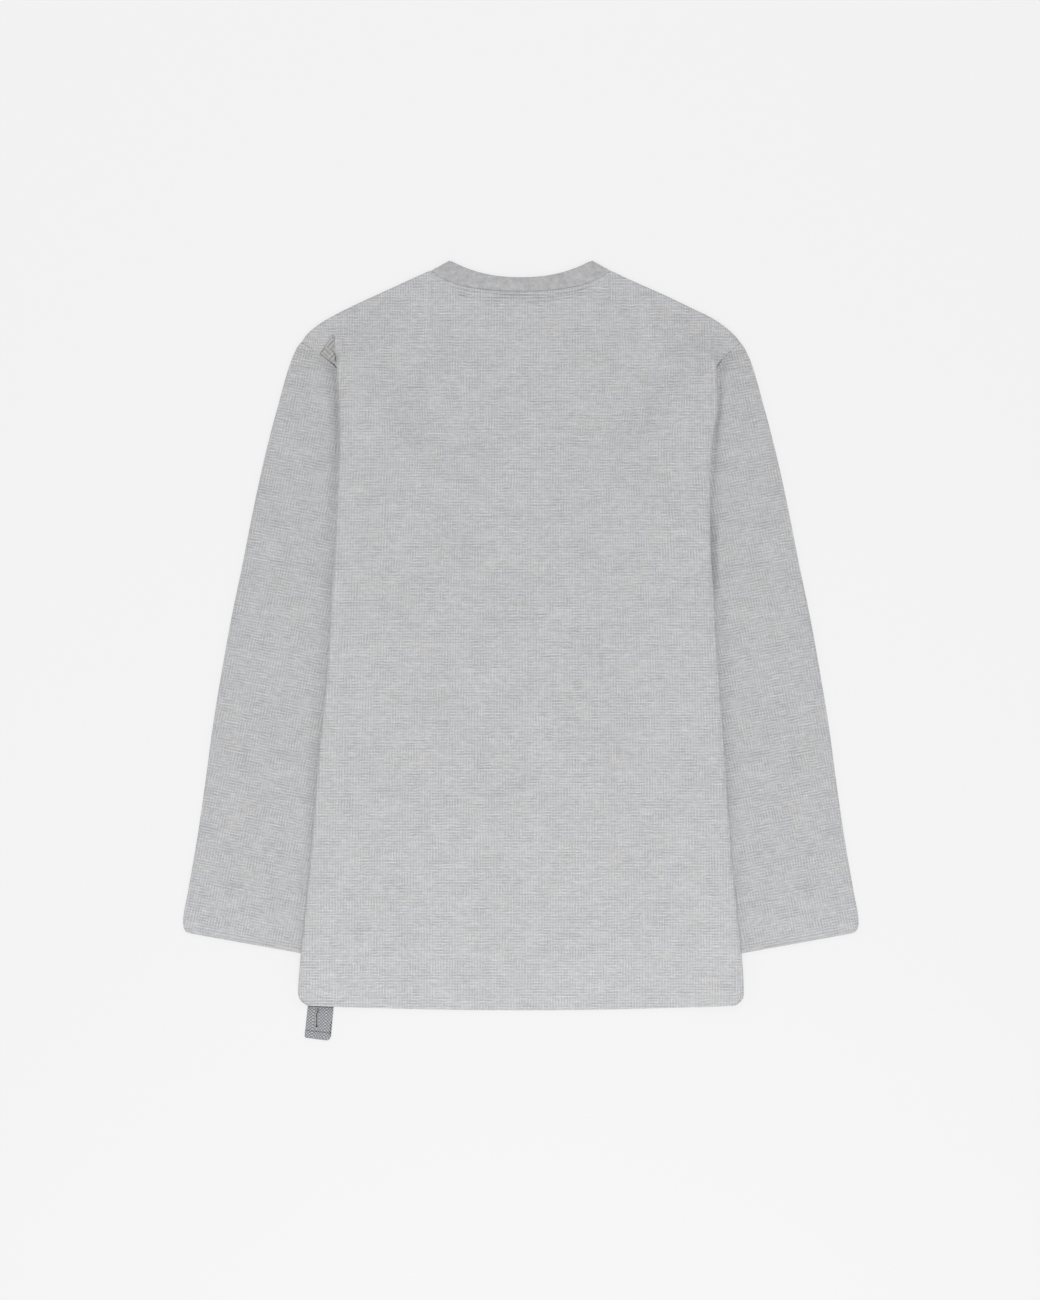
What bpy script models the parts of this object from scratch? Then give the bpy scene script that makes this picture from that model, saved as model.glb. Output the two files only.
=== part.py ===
"""Long-sleeved waffle-knit thermal top, laid flat on its front with its back up.

The row frame has +X to the right, +Y towards the neck and +Z up, away from the surface that the top
lies on. The origin is under the middle of its outline, on that surface. Places on the cloth are given
by two sizes: out, across from the centre line, and drop, down from the two neck points.

The sleeves lie on the surface. The body lies over their inner edges, and its sides are tucked under,
so a section across it is a flat C at each side: the back panel outside and the front panel inside.
"""

import math

import bpy
from mathutils import Vector

MM = 0.001

# Cloth
CLOTH = 1.5  # wall of the waffle knit and of the neckband
GAP = 0.35  # between two layers that touch, and at the seams
PITCH = CLOTH + GAP  # from one layer's middle to the next
SEAM = 0.4  # between two edges that are sewn together
TUCK_BEND = 1.95  # radius of the tucked side, between the front and the back panel
TUCK_RISE = 2 * TUCK_BEND  # how far the tucked layers raise the body
SLEEVE_RISE = 2 * PITCH  # how far a sleeve raises what lies on it
TUCK_REACH = TUCK_BEND + PITCH / 2 + CLOTH / 2  # from the bend's axis to the outline
LOW, HIGH = CLOTH / 2, CLOTH / 2 + PITCH  # heights of two layers that lie flat
BETWEEN = CLOTH + GAP / 2  # height of the gap between them
FOLD_BEND = PITCH / 2  # radius of a flat fold that joins them
FOLD_TURNS = (45.0, 90.0, 135.0)  # places round it

# Outline
TOP = 390.0  # the neck points' distance from the origin, along Y
SHOULDER_START = (89.2, 9.5)  # out and drop where a shoulder leaves the neckband
SHOULDER_FALL = 0.4545  # drop for each millimetre out
SHOULDER_TIP = (190.0, 30.0, 11.0)  # where the shoulder starts to round off, over what width, and how far
HEM_DROP, HEM_LIFT, HEM_LOW_X, HEM_HALF = 750.0, 5.5, -15.0, 225.0

# Neck
NECK_HALF, NECK_DEPTH, NECK_ROUND, NECK_POWER = 89.2, 31.0, 93.0, 2.2  # the back seam
FRONT_NECK_DEPTH = 97.0
BAND_HALF, BAND_BACK_DROP, BAND_FRONT_DROP = 71.0, 16.0, 78.0  # the band's open edge
NECK_STATIONS = (0.0, 0.30, 0.56, 0.77, 0.92, 1.0)  # shares of the half width, shared by all that is sewn there
NECK_STEP = 1.0  # from a point on the seam to the two that give its direction
BAND_SHARES = (0.0, 0.5, 1.0)  # places across the band, from its open edge

# Body sections: drop of the tucked edge, and its distance out on the left and on the right
BODY_ROWS = (
    (53.0, 184.5, 191.5),
    (68.0, 184.5, 193.0),
    (83.0, 184.2, 194.5),
    (97.0, 184.0, 195.0),
    (106.0, 183.7, 195.2),
    (114.0, 183.3, 195.6),
    (122.0, 182.8, 196.1),
    (132.0, 182.2, 196.6),
    (150.0, 181.5, 196.0),
    (175.0, 181.0, 192.3),
    (208.0, 182.0, 190.2),
    (240.0, 183.5, 189.1),
    (285.0, 185.6, 189.7),
    (335.0, 188.9, 192.7),
    (390.0, 191.8, 195.8),
    (445.0, 196.6, 200.1),
    (500.0, 202.3, 204.1),
    (555.0, 206.5, 207.5),
    (610.0, 211.5, 212.1),
    (660.0, 216.3, 217.2),
    (700.0, 219.9, 221.2),
    (722.0, 221.7, 222.6),
    (735.0, 222.3, 223.0),
    (740.5, 220.3, 221.3),
    (743.5, 217.2, 217.8),
)
# Armhole seam: drop and distance out, from the shoulder tip to the underarm, one for each of the first sections
LEFT_ARMHOLE = (
    (82.0, 220.0),
    (89.5, 208.5),
    (96.5, 198.0),
    (101.5, 190.5),
    (108.0, 184.0),
    (116.0, 177.0),
    (132.0, 166.0),
    (150.0, 155.0),
    (175.0, 138.5),
    (208.0, 117.0),
)
RIGHT_ARMHOLE = (
    (82.0, 220.0),
    (88.5, 213.0),
    (94.5, 206.0),
    (100.0, 200.8),
    (107.0, 196.0),
    (116.0, 190.0),
    (132.0, 180.0),
    (150.0, 169.5),
    (175.0, 150.5),
    (208.0, 125.2),
)
OPEN_ROWS = 4  # the first sections, where the armhole seam still lies outside the tuck
# The next ones, where the cloth turns under: by how many degrees, and how far it goes on straight from there
TURNING_ROWS = ((60.0, 5.0), (100.0, 1.6), (140.0, 0.5))
FIRST_TUCKED = OPEN_ROWS + len(TURNING_ROWS)
OPEN_TUCK = 6.0  # width of the columns beside the tuck's bend in those sections
TUCK_AT_HEM = 24.0  # width of what is tucked under at the hem
SLOPE = 68.0  # width over which the body comes down beside what it lies on
MARGIN = 4.0  # how far past an edge it stays up
CUFF_CLEAR, CUFF_FALL = 10.0, 36.0  # the same below the cuffs
SQUARE_ROW = -3  # the last section above the hem's rounded corners
FLAP_SHARES = (1.0, 2.0 / 3.0, 1.0 / 3.0)  # places across what is tucked under, from its seam
BEND_SHARES = (1.0, 0.75, 0.5, 0.25)  # and round its bend

# Sleeve sections: drop and distance out of the outer edge
SLEEVE_ROWS = (
    (82.0, 220.0),
    (102.0, 230.0),
    (142.0, 242.0),
    (195.0, 255.8),
    (250.0, 267.8),
    (305.0, 278.6),
    (360.0, 290.0),
    (415.0, 299.8),
    (470.0, 308.7),
    (525.0, 316.0),
    (580.0, 324.0),
    (630.0, 332.6),
    (664.0, 338.0),
    (672.4, 333.0),
)
CUFF_INNER_DROP = 691.5
LEFT_CUFF_INNER, RIGHT_CUFF_INNER = 220.0, 224.5
ARMHOLE_BOW = (1.0, 0.7, 0.35, 0.1)  # how much of the armhole's curve the first sections keep
POCKET_GAP = 2.2  # wider gap where the armhole seam dives under the body
POCKET_STATIONS = (3, 4, 5)

# Hem tab: a twill tape with a worked buttonhole, sewn to the front panel's hem
TAPE = 1.2
TAB_TOP_LEFT, TAB_TOP_RIGHT = (-212.8, 744.1), (-188.2, 745.2)  # x and drop
TAB_BOTTOM_LEFT, TAB_BOTTOM_RIGHT = (-216.2, 776.9), (-191.8, 780.3)
TAB_COLUMNS = 6
# Its sections: share of the length, and how much narrower it is at each side
TAB_ROWS = ((0.0, 0.0), (0.2, 0.0), (0.4, 0.0), (0.6, 0.0), (0.8, 0.0), (0.94, 0.0), (0.98, 0.7), (1.0, 2.0))
TAB_LIE = 0.7  # share of its length over which it comes down to the surface
FRONT_HEM_SHORT = 2.0  # the front hem stops this much above the back hem, over the tab's end
BUTTONHOLE_LENGTH, BUTTONHOLE_WIDTH, BUTTONHOLE_DEPTH = 21.0, 1.0, 20.0
BUTTONHOLE_SIDE, BUTTONHOLE_START = 9.6, 3.0  # from the tab's left edge and from its top

PARTS = "thermal_top"


def ease(share):
    """A soft step from 0 to 1."""
    share = min(max(share, 0.0), 1.0)
    return share * share * (3.0 - 2.0 * share)


def mix(a, b, share):
    return a + (b - a) * share


def read_row(rows, at, column):
    """The value in a column of a table, at a drop between its rows."""
    for before, after in zip(rows, rows[1:]):
        if at <= after[0]:
            break
    return mix(before[column], after[column], min(max((at - before[0]) / (after[0] - before[0]), 0.0), 1.0))


def shoulder_drop(out):
    start, width, fall = SHOULDER_TIP
    rounding = fall * (max(out - start, 0.0) / width) ** 2
    return SHOULDER_START[1] + SHOULDER_FALL * (out - SHOULDER_START[0]) + rounding


def back_neck_drop(out):
    return NECK_DEPTH * (1.0 - (abs(out) / NECK_ROUND) ** NECK_POWER) ** (1.0 / NECK_POWER)


def front_neck_drop(out):
    start = back_neck_drop(NECK_HALF)
    return start + (FRONT_NECK_DEPTH - start) * math.sqrt(max(1.0 - (out / NECK_HALF) ** 2, 0.0))


def hem_drop(x):
    return HEM_DROP - HEM_LIFT * ((x - HEM_LOW_X) / HEM_HALF) ** 2


class Side:
    """One side of the body, with the sleeve under it. Its sign is -1 on the left and 1 on the right."""

    def __init__(self, sign, armhole, cuff_inner):
        self.sign = sign
        self.armhole = armhole
        self.cuff_inner = cuff_inner
        self.fold_column = 1 if sign < 0 else 2
        self.underarm = armhole[-1]

    def fold(self, drop):
        return read_row(BODY_ROWS, drop, self.fold_column)

    def seam(self, drop):
        """The inner edge of what is tucked under: the armhole down to the underarm, then the side seam."""
        if drop <= self.underarm[0]:
            return read_row(self.armhole, drop, 1)
        hem = BODY_ROWS[SQUARE_ROW]
        at_hem = hem[self.fold_column] - TUCK_AT_HEM
        return mix(self.underarm[1], at_hem, (drop - self.underarm[0]) / (hem[0] - self.underarm[0]))

    def axis(self, index):
        """How far out the bend's middle is in a section."""
        return BODY_ROWS[index][self.fold_column] - TUCK_REACH

    def sleeve_inner(self, drop):
        if drop <= self.underarm[0]:
            return read_row(self.armhole, drop, 1)
        share = (drop - self.underarm[0]) / (CUFF_INNER_DROP - self.underarm[0])
        return mix(self.underarm[1], self.cuff_inner, min(share, 1.0))

    def on_sleeve(self, out, drop):
        """How high the sleeve raises what lies on it here."""
        past_edge = self.sleeve_inner(drop) - MARGIN - out
        past_cuff = drop - CUFF_INNER_DROP - CUFF_CLEAR
        return SLEEVE_RISE * (1.0 - ease(past_edge / SLOPE)) * (1.0 - ease(past_cuff / CUFF_FALL))

    def lift(self, out, drop):
        """How high the sleeve and the tucked layers raise the body here."""
        edge = min(self.seam(drop), self.fold(drop) - TUCK_REACH)
        on_tuck = TUCK_RISE * (1.0 - ease((edge - MARGIN - out) / SLOPE))
        first, last = BODY_ROWS[0][0], BODY_ROWS[FIRST_TUCKED][0]
        return (self.on_sleeve(out, drop) + on_tuck) * ease((drop - first) / (last - first))


LEFT = Side(-1, LEFT_ARMHOLE, LEFT_CUFF_INNER)
RIGHT = Side(1, RIGHT_ARMHOLE, RIGHT_CUFF_INNER)
SIDES = (LEFT, RIGHT)


def body_lift(x, drop):
    return (LEFT if x < 0 else RIGHT).lift(abs(x), drop)


def place(x, drop, z):
    return Vector((x, TOP - drop, z)) * MM


# Cloth surfaces: each is a grid of points, its rows in order down the cloth and its columns from left to right


def open_side(side, index):
    """A section whose seam still lies outside the tuck: out, drop and z from the seam to the top of the tuck."""
    drop, axis = BODY_ROWS[index][0], side.axis(index)
    seam_drop, seam = side.armhole[index]
    raised = side.lift(axis, drop)
    stations = len(FLAP_SHARES) + len(BEND_SHARES)
    points = []
    for station in range(stations):
        share = 1.0 - station / stations
        out = mix(axis, seam, share)
        here = mix(drop, seam_drop, share) if index else shoulder_drop(out)
        points.append((out, here, BETWEEN + raised * (1.0 - ease(share))))
    return points


def tucked_side(side, index):
    """The same where the cloth turns under."""
    drop, axis = BODY_ROWS[index][0], side.axis(index)
    tucked = index >= FIRST_TUCKED
    turn, length = (180.0, axis - side.seam(drop)) if tucked else TURNING_ROWS[index - OPEN_ROWS]
    turn = math.radians(turn)
    middle = BETWEEN + side.lift(axis, drop) - TUCK_BEND
    points = []
    for share in FLAP_SHARES:
        out = axis + TUCK_BEND * math.sin(turn) + length * share * math.cos(turn)
        free = middle + TUCK_BEND * math.cos(turn) - length * share * math.sin(turn)
        points.append((out, drop, BETWEEN + side.on_sleeve(out, drop) if tucked else free))
    for share in BEND_SHARES:
        angle = turn * share
        points.append((axis + TUCK_BEND * math.sin(angle), drop, middle + TUCK_BEND * math.cos(angle)))
    return points


def neck_fold():
    """The line that the neckband is folded on, from its open edge to its seam, and the direction square to it."""
    edge, seam = Vector((BAND_HALF, 0.0)), Vector((NECK_HALF, back_neck_drop(NECK_HALF)))
    along = (seam - edge).normalized()
    outward = Vector((along.y, -along.x))
    inset = outward * (FOLD_BEND + CLOTH / 2)
    return edge - inset, seam - inset, along, outward


def neck_seam(neck_drop, gap):
    """Out and drop of the seam round one half of the neck, from the centre, moved away from the neck by a gap."""
    points = []
    for station in NECK_STATIONS[:-1]:
        out = NECK_HALF * station
        fall = neck_drop(out + NECK_STEP) - neck_drop(out - NECK_STEP)
        run = Vector((2 * NECK_STEP, fall)).normalized()
        points.append((out - gap * run.y, neck_drop(out) + gap * run.x))
    _, seam, along, _ = neck_fold()
    points.append(tuple(seam + along * gap))
    return points


def neck_edge(neck_drop):
    """The panels' edge along that seam, up to the shoulder."""
    _, seam, along, outward = neck_fold()
    shoulder = seam + along * SEAM + outward * (FOLD_BEND + CLOTH / 2)
    return [*neck_seam(neck_drop, SEAM), tuple(shoulder)]


def body_columns(side, index, neck):
    """How far out a section's columns are between the tuck and the centre line, from the tuck inwards."""
    drop, axis = BODY_ROWS[index][0], side.axis(index)
    tuck = side.seam(drop) if index >= FIRST_TUCKED else axis - OPEN_TUCK
    spread = ease(index / (len(side.armhole) - 1.0))
    foot = mix(neck[-1][0], tuck - SLOPE, spread)
    count = len(neck) - 1
    over_tuck = [mix(tuck, axis, share) for share in FLAP_SHARES]
    slope = [mix(foot, tuck, share) for share in FLAP_SHARES]
    middle = [mix(neck[k][0], foot * k / count, spread) for k in range(count, 0, -1)]
    return over_tuck + slope + middle


def panel_sections(neck_drop, hem_short):
    """Points half way between the two panels, from the neck to the hem, each row from left seam to right seam."""
    neck = neck_edge(neck_drop)
    top_drops, hem_drops = {}, {}
    for side in SIDES:
        top = body_columns(side, 0, neck)
        hem = body_columns(side, len(BODY_ROWS) - 1, neck)
        on_neck = [point[1] for point in reversed(neck[1:])]
        top_drops[side] = [shoulder_drop(out) for out in top[: -len(on_neck)]] + on_neck
        hem_drops[side] = [hem_drop(side.sign * out) - hem_short for out in hem]
    first, last = BODY_ROWS[0][0], BODY_ROWS[-1][0]
    grid = []
    for index, (row_drop, *_) in enumerate(BODY_ROWS):
        share = (row_drop - first) / (last - first)
        halves = []
        for side in SIDES:
            turned = (open_side if index < OPEN_ROWS else tucked_side)(side, index)
            half = [(side.sign * out, drop - hem_short * share, z) for out, drop, z in turned]
            columns = body_columns(side, index, neck)
            for out, top, hem in zip(columns, top_drops[side], hem_drops[side]):
                drop = mix(top, hem, share)
                half.append((side.sign * out, drop, BETWEEN + side.lift(out, drop)))
            halves.append(half)
        middle = mix(neck[0][1], hem_drop(0.0) - hem_short, share)
        grid.append([*halves[0], (0.0, middle, BETWEEN), *reversed(halves[1])])
    return grid


def beside(section, distance):
    """A section moved sideways within its own upright plane: up where it runs to the right."""
    moved = []
    for index, (x, drop, z) in enumerate(section):
        tangent = Vector((0.0, 0.0))
        for before, after in ((index - 1, index), (index, index + 1)):
            if 0 <= before and after < len(section):
                step = Vector((section[after][0] - section[before][0], section[after][2] - section[before][2]))
                tangent += step.normalized()
        tangent.normalize()
        moved.append(place(x - tangent.y * distance, drop, z + tangent.x * distance))
    return moved


def folded_edge(centre, outward):
    """Points round a flat fold, from its upper layer to its lower one: x, drop and z."""
    points = []
    for turn in FOLD_TURNS:
        angle = math.radians(turn)
        x, drop = centre + outward * FOLD_BEND * math.sin(angle)
        points.append((x, drop, BETWEEN + FOLD_BEND * math.cos(angle)))
    return points


def flat_tube(outline):
    """One loop round a flattened tube, through points across it given as x and drop, from edge to edge."""
    inset = FOLD_BEND + CLOTH / 2
    outline = [Vector(point) for point in outline]
    first = (outline[0] - outline[1]).normalized()
    last = (outline[-1] - outline[-2]).normalized()
    across = [outline[0] - first * inset, *outline[1:-1], outline[-1] - last * inset]
    loop = [(*point, HIGH) for point in across] + folded_edge(across[-1], last)
    loop += [(*point, LOW) for point in reversed(across)] + folded_edge(across[0], first)[::-1]
    return [place(*point) for point in loop]


def sleeve_grid(side):
    """Loops round the sleeve, from the armhole to the cuff."""
    armhole = [Vector((out, drop)) for drop, out in side.armhole]
    lengths = [0.0]
    for before, after in zip(armhole, armhole[1:]):
        lengths.append(lengths[-1] + (after - before).length)
    shares = [length / lengths[-1] for length in lengths]
    chord = armhole[-1] - armhole[0]
    away = Vector((chord.y, -chord.x)).normalized()
    first, last = SLEEVE_ROWS[0][0], SLEEVE_ROWS[-1][0]
    cuff_inner = Vector((side.cuff_inner, CUFF_INNER_DROP))
    grid = []
    for index, (drop, out) in enumerate(SLEEVE_ROWS):
        outer = Vector((out, drop))
        inner = armhole[-1].lerp(cuff_inner, (drop - first) / (last - first))
        bow = ARMHOLE_BOW[index] if index < len(ARMHOLE_BOW) else 0.0
        outline = []
        for station, (share, seam) in enumerate(zip(shares, armhole)):
            point = outer.lerp(inner, share) + bow * (seam - armhole[0].lerp(armhole[-1], share))
            if index == 0:
                point += away * (POCKET_GAP if station in POCKET_STATIONS else SEAM)
            outline.append((side.sign * point.x, point.y))
        grid.append(flat_tube(outline))
    return grid


def neckband_grid():
    """Loops round the neckband, from its open edge to its seam. The band is folded at the two neck points."""
    back, front = neck_seam(back_neck_drop, 0.0), neck_seam(front_neck_drop, 0.0)
    edge_end, seam_end, _, outward = neck_fold()
    grid = []
    for across in BAND_SHARES:
        upper, lower = [], []
        for station, (back_out, back_drop), (front_out, front_drop) in zip(NECK_STATIONS, back, front):
            edge_out = BAND_HALF * station
            back_edge = BAND_BACK_DROP * (1.0 - station**2)
            front_edge = BAND_FRONT_DROP * math.sqrt(1.0 - station**2)
            upper.append(Vector((edge_out, back_edge)).lerp(Vector((back_out, back_drop)), across))
            lower.append(Vector((edge_out, front_edge)).lerp(Vector((front_out, front_drop)), across))
        upper[-1] = lower[-1] = end = edge_end.lerp(seam_end, across)
        fold = folded_edge(end, outward)
        loop = [(-point.x, point.y, HIGH) for point in reversed(upper)] + [(*point, HIGH) for point in upper[1:]]
        loop += fold + [(*point, LOW) for point in reversed(lower)]
        loop += [(-point.x, point.y, LOW) for point in lower[1:]]
        loop += [(-x, drop, z) for x, drop, z in reversed(fold)]
        grid.append([place(*point) for point in loop])
    return grid


def tab_grid():
    """The tape from the front hem down to the surface it lies on."""
    grid = []
    for share, narrowing in TAB_ROWS:
        left = Vector(TAB_TOP_LEFT).lerp(Vector(TAB_BOTTOM_LEFT), share)
        right = Vector(TAB_TOP_RIGHT).lerp(Vector(TAB_BOTTOM_RIGHT), share)
        inset = (right - left).normalized() * narrowing
        down = 1.0 - ease(share / TAB_LIE)
        row = []
        for column in range(TAB_COLUMNS + 1):
            point = (left + inset).lerp(right - inset, column / TAB_COLUMNS)
            hem = CLOTH / 2 + body_lift(point.x, TAB_TOP_LEFT[1])
            row.append(place(point.x, point.y, mix(TAPE / 2, hem, down)))
        grid.append(row)
    return grid


# Objects


def clear_scene():
    for thing in list(bpy.data.objects):
        bpy.data.objects.remove(thing, do_unlink=True)


def new_collection(name):
    collection = bpy.data.collections.new(name)
    bpy.context.scene.collection.children.link(collection)
    return collection


def make_material(name, colour, roughness):
    material = bpy.data.materials.new(name)
    material.use_nodes = True
    shader = material.node_tree.nodes["Principled BSDF"]
    shader.inputs["Base Color"].default_value = (*colour, 1.0)
    shader.inputs["Roughness"].default_value = roughness
    shader.inputs["Metallic"].default_value = 0.0
    return material


def grid_faces(rows, columns, looped, start=0):
    """Faces between the points of a grid, which face up where its rows run down and its columns to the right."""
    faces = []
    for r in range(rows - 1):
        for c in range(columns if looped else columns - 1):
            here, beside_it = start + r * columns + c, start + r * columns + (c + 1) % columns
            faces.append((here, here + columns, beside_it + columns, beside_it))
    return faces


def add_object(name, points, faces, material, collection, parent):
    mesh = bpy.data.meshes.new(name)
    mesh.from_pydata(points, [], faces)
    mesh.materials.append(material)
    mesh.shade_smooth()
    made = bpy.data.objects.new(name, mesh)
    made.parent = parent
    collection.objects.link(made)
    return made


def cloth_object(name, grid, wall, looped, *where):
    """A cloth wall, half of it on each side of the grid's surface."""
    points = [point for row in grid for point in row]
    made = add_object(name, points, grid_faces(len(grid), len(grid[0]), looped), *where)
    solidify = made.modifiers.new("cloth", "SOLIDIFY")
    solidify.thickness = wall * MM
    solidify.offset = 0.0
    return made


def panel_object(name, sections, near, far, *where):
    """A cloth wall lofted through sections, between two distances from the surface that they lie on."""
    rows, columns = len(sections), len(sections[0])
    points = [point for distance in (near, far) for section in sections for point in beside(section, distance)]
    other = rows * columns
    lower = [(a, d, c, b) for a, b, c, d in grid_faces(rows, columns, False)]  # the same diagonals as above
    upper = grid_faces(rows, columns, False, other)
    corners = [0, (rows - 1) * columns, rows * columns - 1, columns - 1]
    rim = [*range(corners[0], corners[1], columns), *range(corners[1], corners[2])]
    rim += [*range(corners[2], corners[3], -columns), *range(corners[3], corners[0], -1)]
    edge = [(a, b, b + other, a + other) for a, b in zip(rim, rim[1:] + rim[:1])]
    return add_object(name, points, lower + upper + edge, *where)


def cut_buttonhole(tab, collection):
    """A straight slit through the tape, along its length."""
    top, bottom = Vector(TAB_TOP_LEFT), Vector(TAB_BOTTOM_LEFT)
    along = (bottom - top).normalized()
    centre = top + along * (BUTTONHOLE_START + BUTTONHOLE_LENGTH / 2) + Vector((BUTTONHOLE_SIDE, 0.0))
    bpy.ops.mesh.primitive_cube_add(size=MM, location=place(*centre, TAPE))
    cutter = bpy.context.object
    cutter.name = "buttonhole_cutter"
    cutter.scale = (BUTTONHOLE_WIDTH, BUTTONHOLE_LENGTH, BUTTONHOLE_DEPTH)
    cutter.rotation_euler.z = math.atan2(along.x, along.y)
    cutter.hide_render = True
    cutter.display_type = "WIRE"
    for owner in list(cutter.users_collection):
        owner.objects.unlink(cutter)
    collection.objects.link(cutter)
    cut = tab.modifiers.new("buttonhole", "BOOLEAN")
    cut.operation = "DIFFERENCE"
    cut.solver = "EXACT"
    cut.object = cutter


def main():
    clear_scene()
    parts, cutters = new_collection(PARTS), new_collection(PARTS + "_cutters")
    frame = bpy.data.objects.new(PARTS + "_frame", None)
    parts.objects.link(frame)
    knit = make_material("waffle_knit", (0.50, 0.505, 0.515), 0.95)
    band = make_material("neckband_knit", (0.455, 0.457, 0.463), 0.95)
    tape = make_material("twill_tape", (0.315, 0.32, 0.33), 0.85)

    knit_parts = (knit, parts, frame)
    near, far = GAP / 2, GAP / 2 + CLOTH
    panel_object("back_panel", panel_sections(back_neck_drop, 0.0), near, far, *knit_parts)
    panel_object("front_panel", panel_sections(front_neck_drop, FRONT_HEM_SHORT), -far, -near, *knit_parts)
    cloth_object("sleeve_left", sleeve_grid(LEFT), CLOTH, True, *knit_parts)
    cloth_object("sleeve_right", sleeve_grid(RIGHT), CLOTH, True, *knit_parts)
    cloth_object("neckband", neckband_grid(), CLOTH, True, band, parts, frame)
    tab = cloth_object("hem_tab", tab_grid(), TAPE, False, tape, parts, frame)
    cut_buttonhole(tab, cutters)


main()
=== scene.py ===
"""Long-sleeved thermal top in grey waffle knit, laid flat with its back up.

Places on the cloth are given as a maker measures them: out, across from the centre line, and drop, down
from the two neck points. x is out with a sign, below zero on the left. Heights are above the surface that
the top lies on. Sizes are in millimetres, and become metres where a mesh is made.

The sleeves lie on the surface. The body lies over their inner edges with its sides tucked under, so that a
section across it is a flat C at each side: the back outside and the front inside.
"""

import logging
import math
from collections.abc import Iterable
from dataclasses import dataclass, field
from enum import Enum
from functools import reduce

import bpy
import numpy as np
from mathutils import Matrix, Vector

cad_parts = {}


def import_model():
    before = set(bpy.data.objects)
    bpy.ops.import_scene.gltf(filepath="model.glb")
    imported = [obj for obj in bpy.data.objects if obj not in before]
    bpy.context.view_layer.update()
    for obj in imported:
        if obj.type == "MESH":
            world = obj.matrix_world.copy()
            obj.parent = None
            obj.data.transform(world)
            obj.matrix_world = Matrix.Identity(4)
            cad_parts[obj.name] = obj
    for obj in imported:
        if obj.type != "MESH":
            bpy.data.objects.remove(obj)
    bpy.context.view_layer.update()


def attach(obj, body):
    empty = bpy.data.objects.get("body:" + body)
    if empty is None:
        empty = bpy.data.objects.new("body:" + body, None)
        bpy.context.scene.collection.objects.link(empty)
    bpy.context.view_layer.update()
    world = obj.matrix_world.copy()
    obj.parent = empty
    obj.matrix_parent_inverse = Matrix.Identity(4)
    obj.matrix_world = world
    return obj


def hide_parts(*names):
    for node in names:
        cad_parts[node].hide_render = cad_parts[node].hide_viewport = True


MM = 0.001
FULL_TURN = 2.0 * math.pi
BODY = "root"
CLOTH_MAP = "cloth"  # places on the flat cloth, in metres
BAKE_MAP = "OFBake"  # the same cloth, fitted into one square
NOISE_SPAN = (0.3, 0.7)  # most of a noise lies between these

Array = np.ndarray
Place = tuple[float, float]
Table = tuple[tuple[float, ...], ...]
Colour = tuple[float, float, float]
Material = bpy.types.Material
Piece = bpy.types.Object
Socket = bpy.types.NodeSocket

UP = np.array([0.0, 0.0, 1.0])

log = logging.getLogger("thermal_top")


# Sums on sizes


def ease(share: Array | float) -> Array:
    """Steps softly from 0 to 1, as the share does."""
    share = np.clip(share, 0.0, 1.0)
    return share * share * (3.0 - 2.0 * share)


def mix(a: Array | float, b: Array | float, share: Array | float) -> Array:
    """Goes straight from one value, at share 0, to another, at share 1."""
    return a + (b - a) * share


def read(table: Table, at: Array | float) -> Array:
    """Reads a two-column table at places between its rows."""
    return np.interp(at, *np.array(table).T)


def unit(ways: Array) -> Array:
    """Brings directions to a length of 1."""
    return ways / np.linalg.norm(ways, axis=-1, keepdims=True)


def raised_to(points: Array, height: Array | float) -> Array:
    """Gives flat points a height each, as a third number."""
    return np.concatenate([points, np.broadcast_to(height, points.shape[:-1])[..., None]], axis=-1)


def smooth_through(places: Array, values: Array, at: Array) -> Array:
    """Draws a smooth curve through known values, which never swings past them.

    Args:
        places: Where the values are known, rising.
        values: The known values, one row for each place.
        at: Where they are wanted.

    Returns:
        One row of values for each wanted place.
    """
    places, values = np.asarray(places, float), np.asarray(values, float)
    wide = (-1, *[1] * (values.ndim - 1))
    gaps = np.diff(places)
    slopes = np.diff(values, axis=0) / gaps.reshape(wide)
    before = (2.0 * gaps[1:] + gaps[:-1]).reshape(wide)
    after = (gaps[1:] + 2.0 * gaps[:-1]).reshape(wide)
    turning = slopes[:-1] * slopes[1:] <= 0.0
    left, right = np.where(turning, 1.0, slopes[:-1]), np.where(turning, 1.0, slopes[1:])
    inner = np.where(turning, 0.0, (before + after) / (before / left + after / right))
    tangents = np.concatenate([slopes[:1], inner, slopes[-1:]])
    found = np.clip(np.searchsorted(places, at, side="right") - 1, 0, len(gaps) - 1)
    gap = gaps[found].reshape(wide)
    t = ((np.asarray(at, float) - places[found]) / gaps[found]).reshape(wide)
    start, end = values[found], values[found + 1]
    ease_in = t * t * (3.0 - 2.0 * t)
    lean = gap * (t * (1.0 - t) ** 2 * tangents[found] - t * t * (1.0 - t) * tangents[found + 1])
    return start + (end - start) * ease_in + lean


def along(points: Array, axis: int) -> Array:
    """How far each point of a grid is down its column, for axis 0, or along its row, for axis 1."""
    far = np.cumsum(np.linalg.norm(np.diff(points, axis=axis), axis=-1), axis=axis)
    return np.pad(far, [(1, 0) if each == axis else (0, 0) for each in range(far.ndim)])


def spread_evenly(points: Array, count: int) -> Array:
    """Places a number of points at equal distances along a line, both ends among them."""
    far = along(points, 0)
    return np.stack([np.interp(np.linspace(0.0, far[-1], count), far, column) for column in points.T], axis=1)


def crossed(across: Array, down: Array) -> Array:
    """Crosses places across and places down into a grid that holds both."""
    return np.stack(np.broadcast_arrays(across, down[:, None]), axis=-1)


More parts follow.
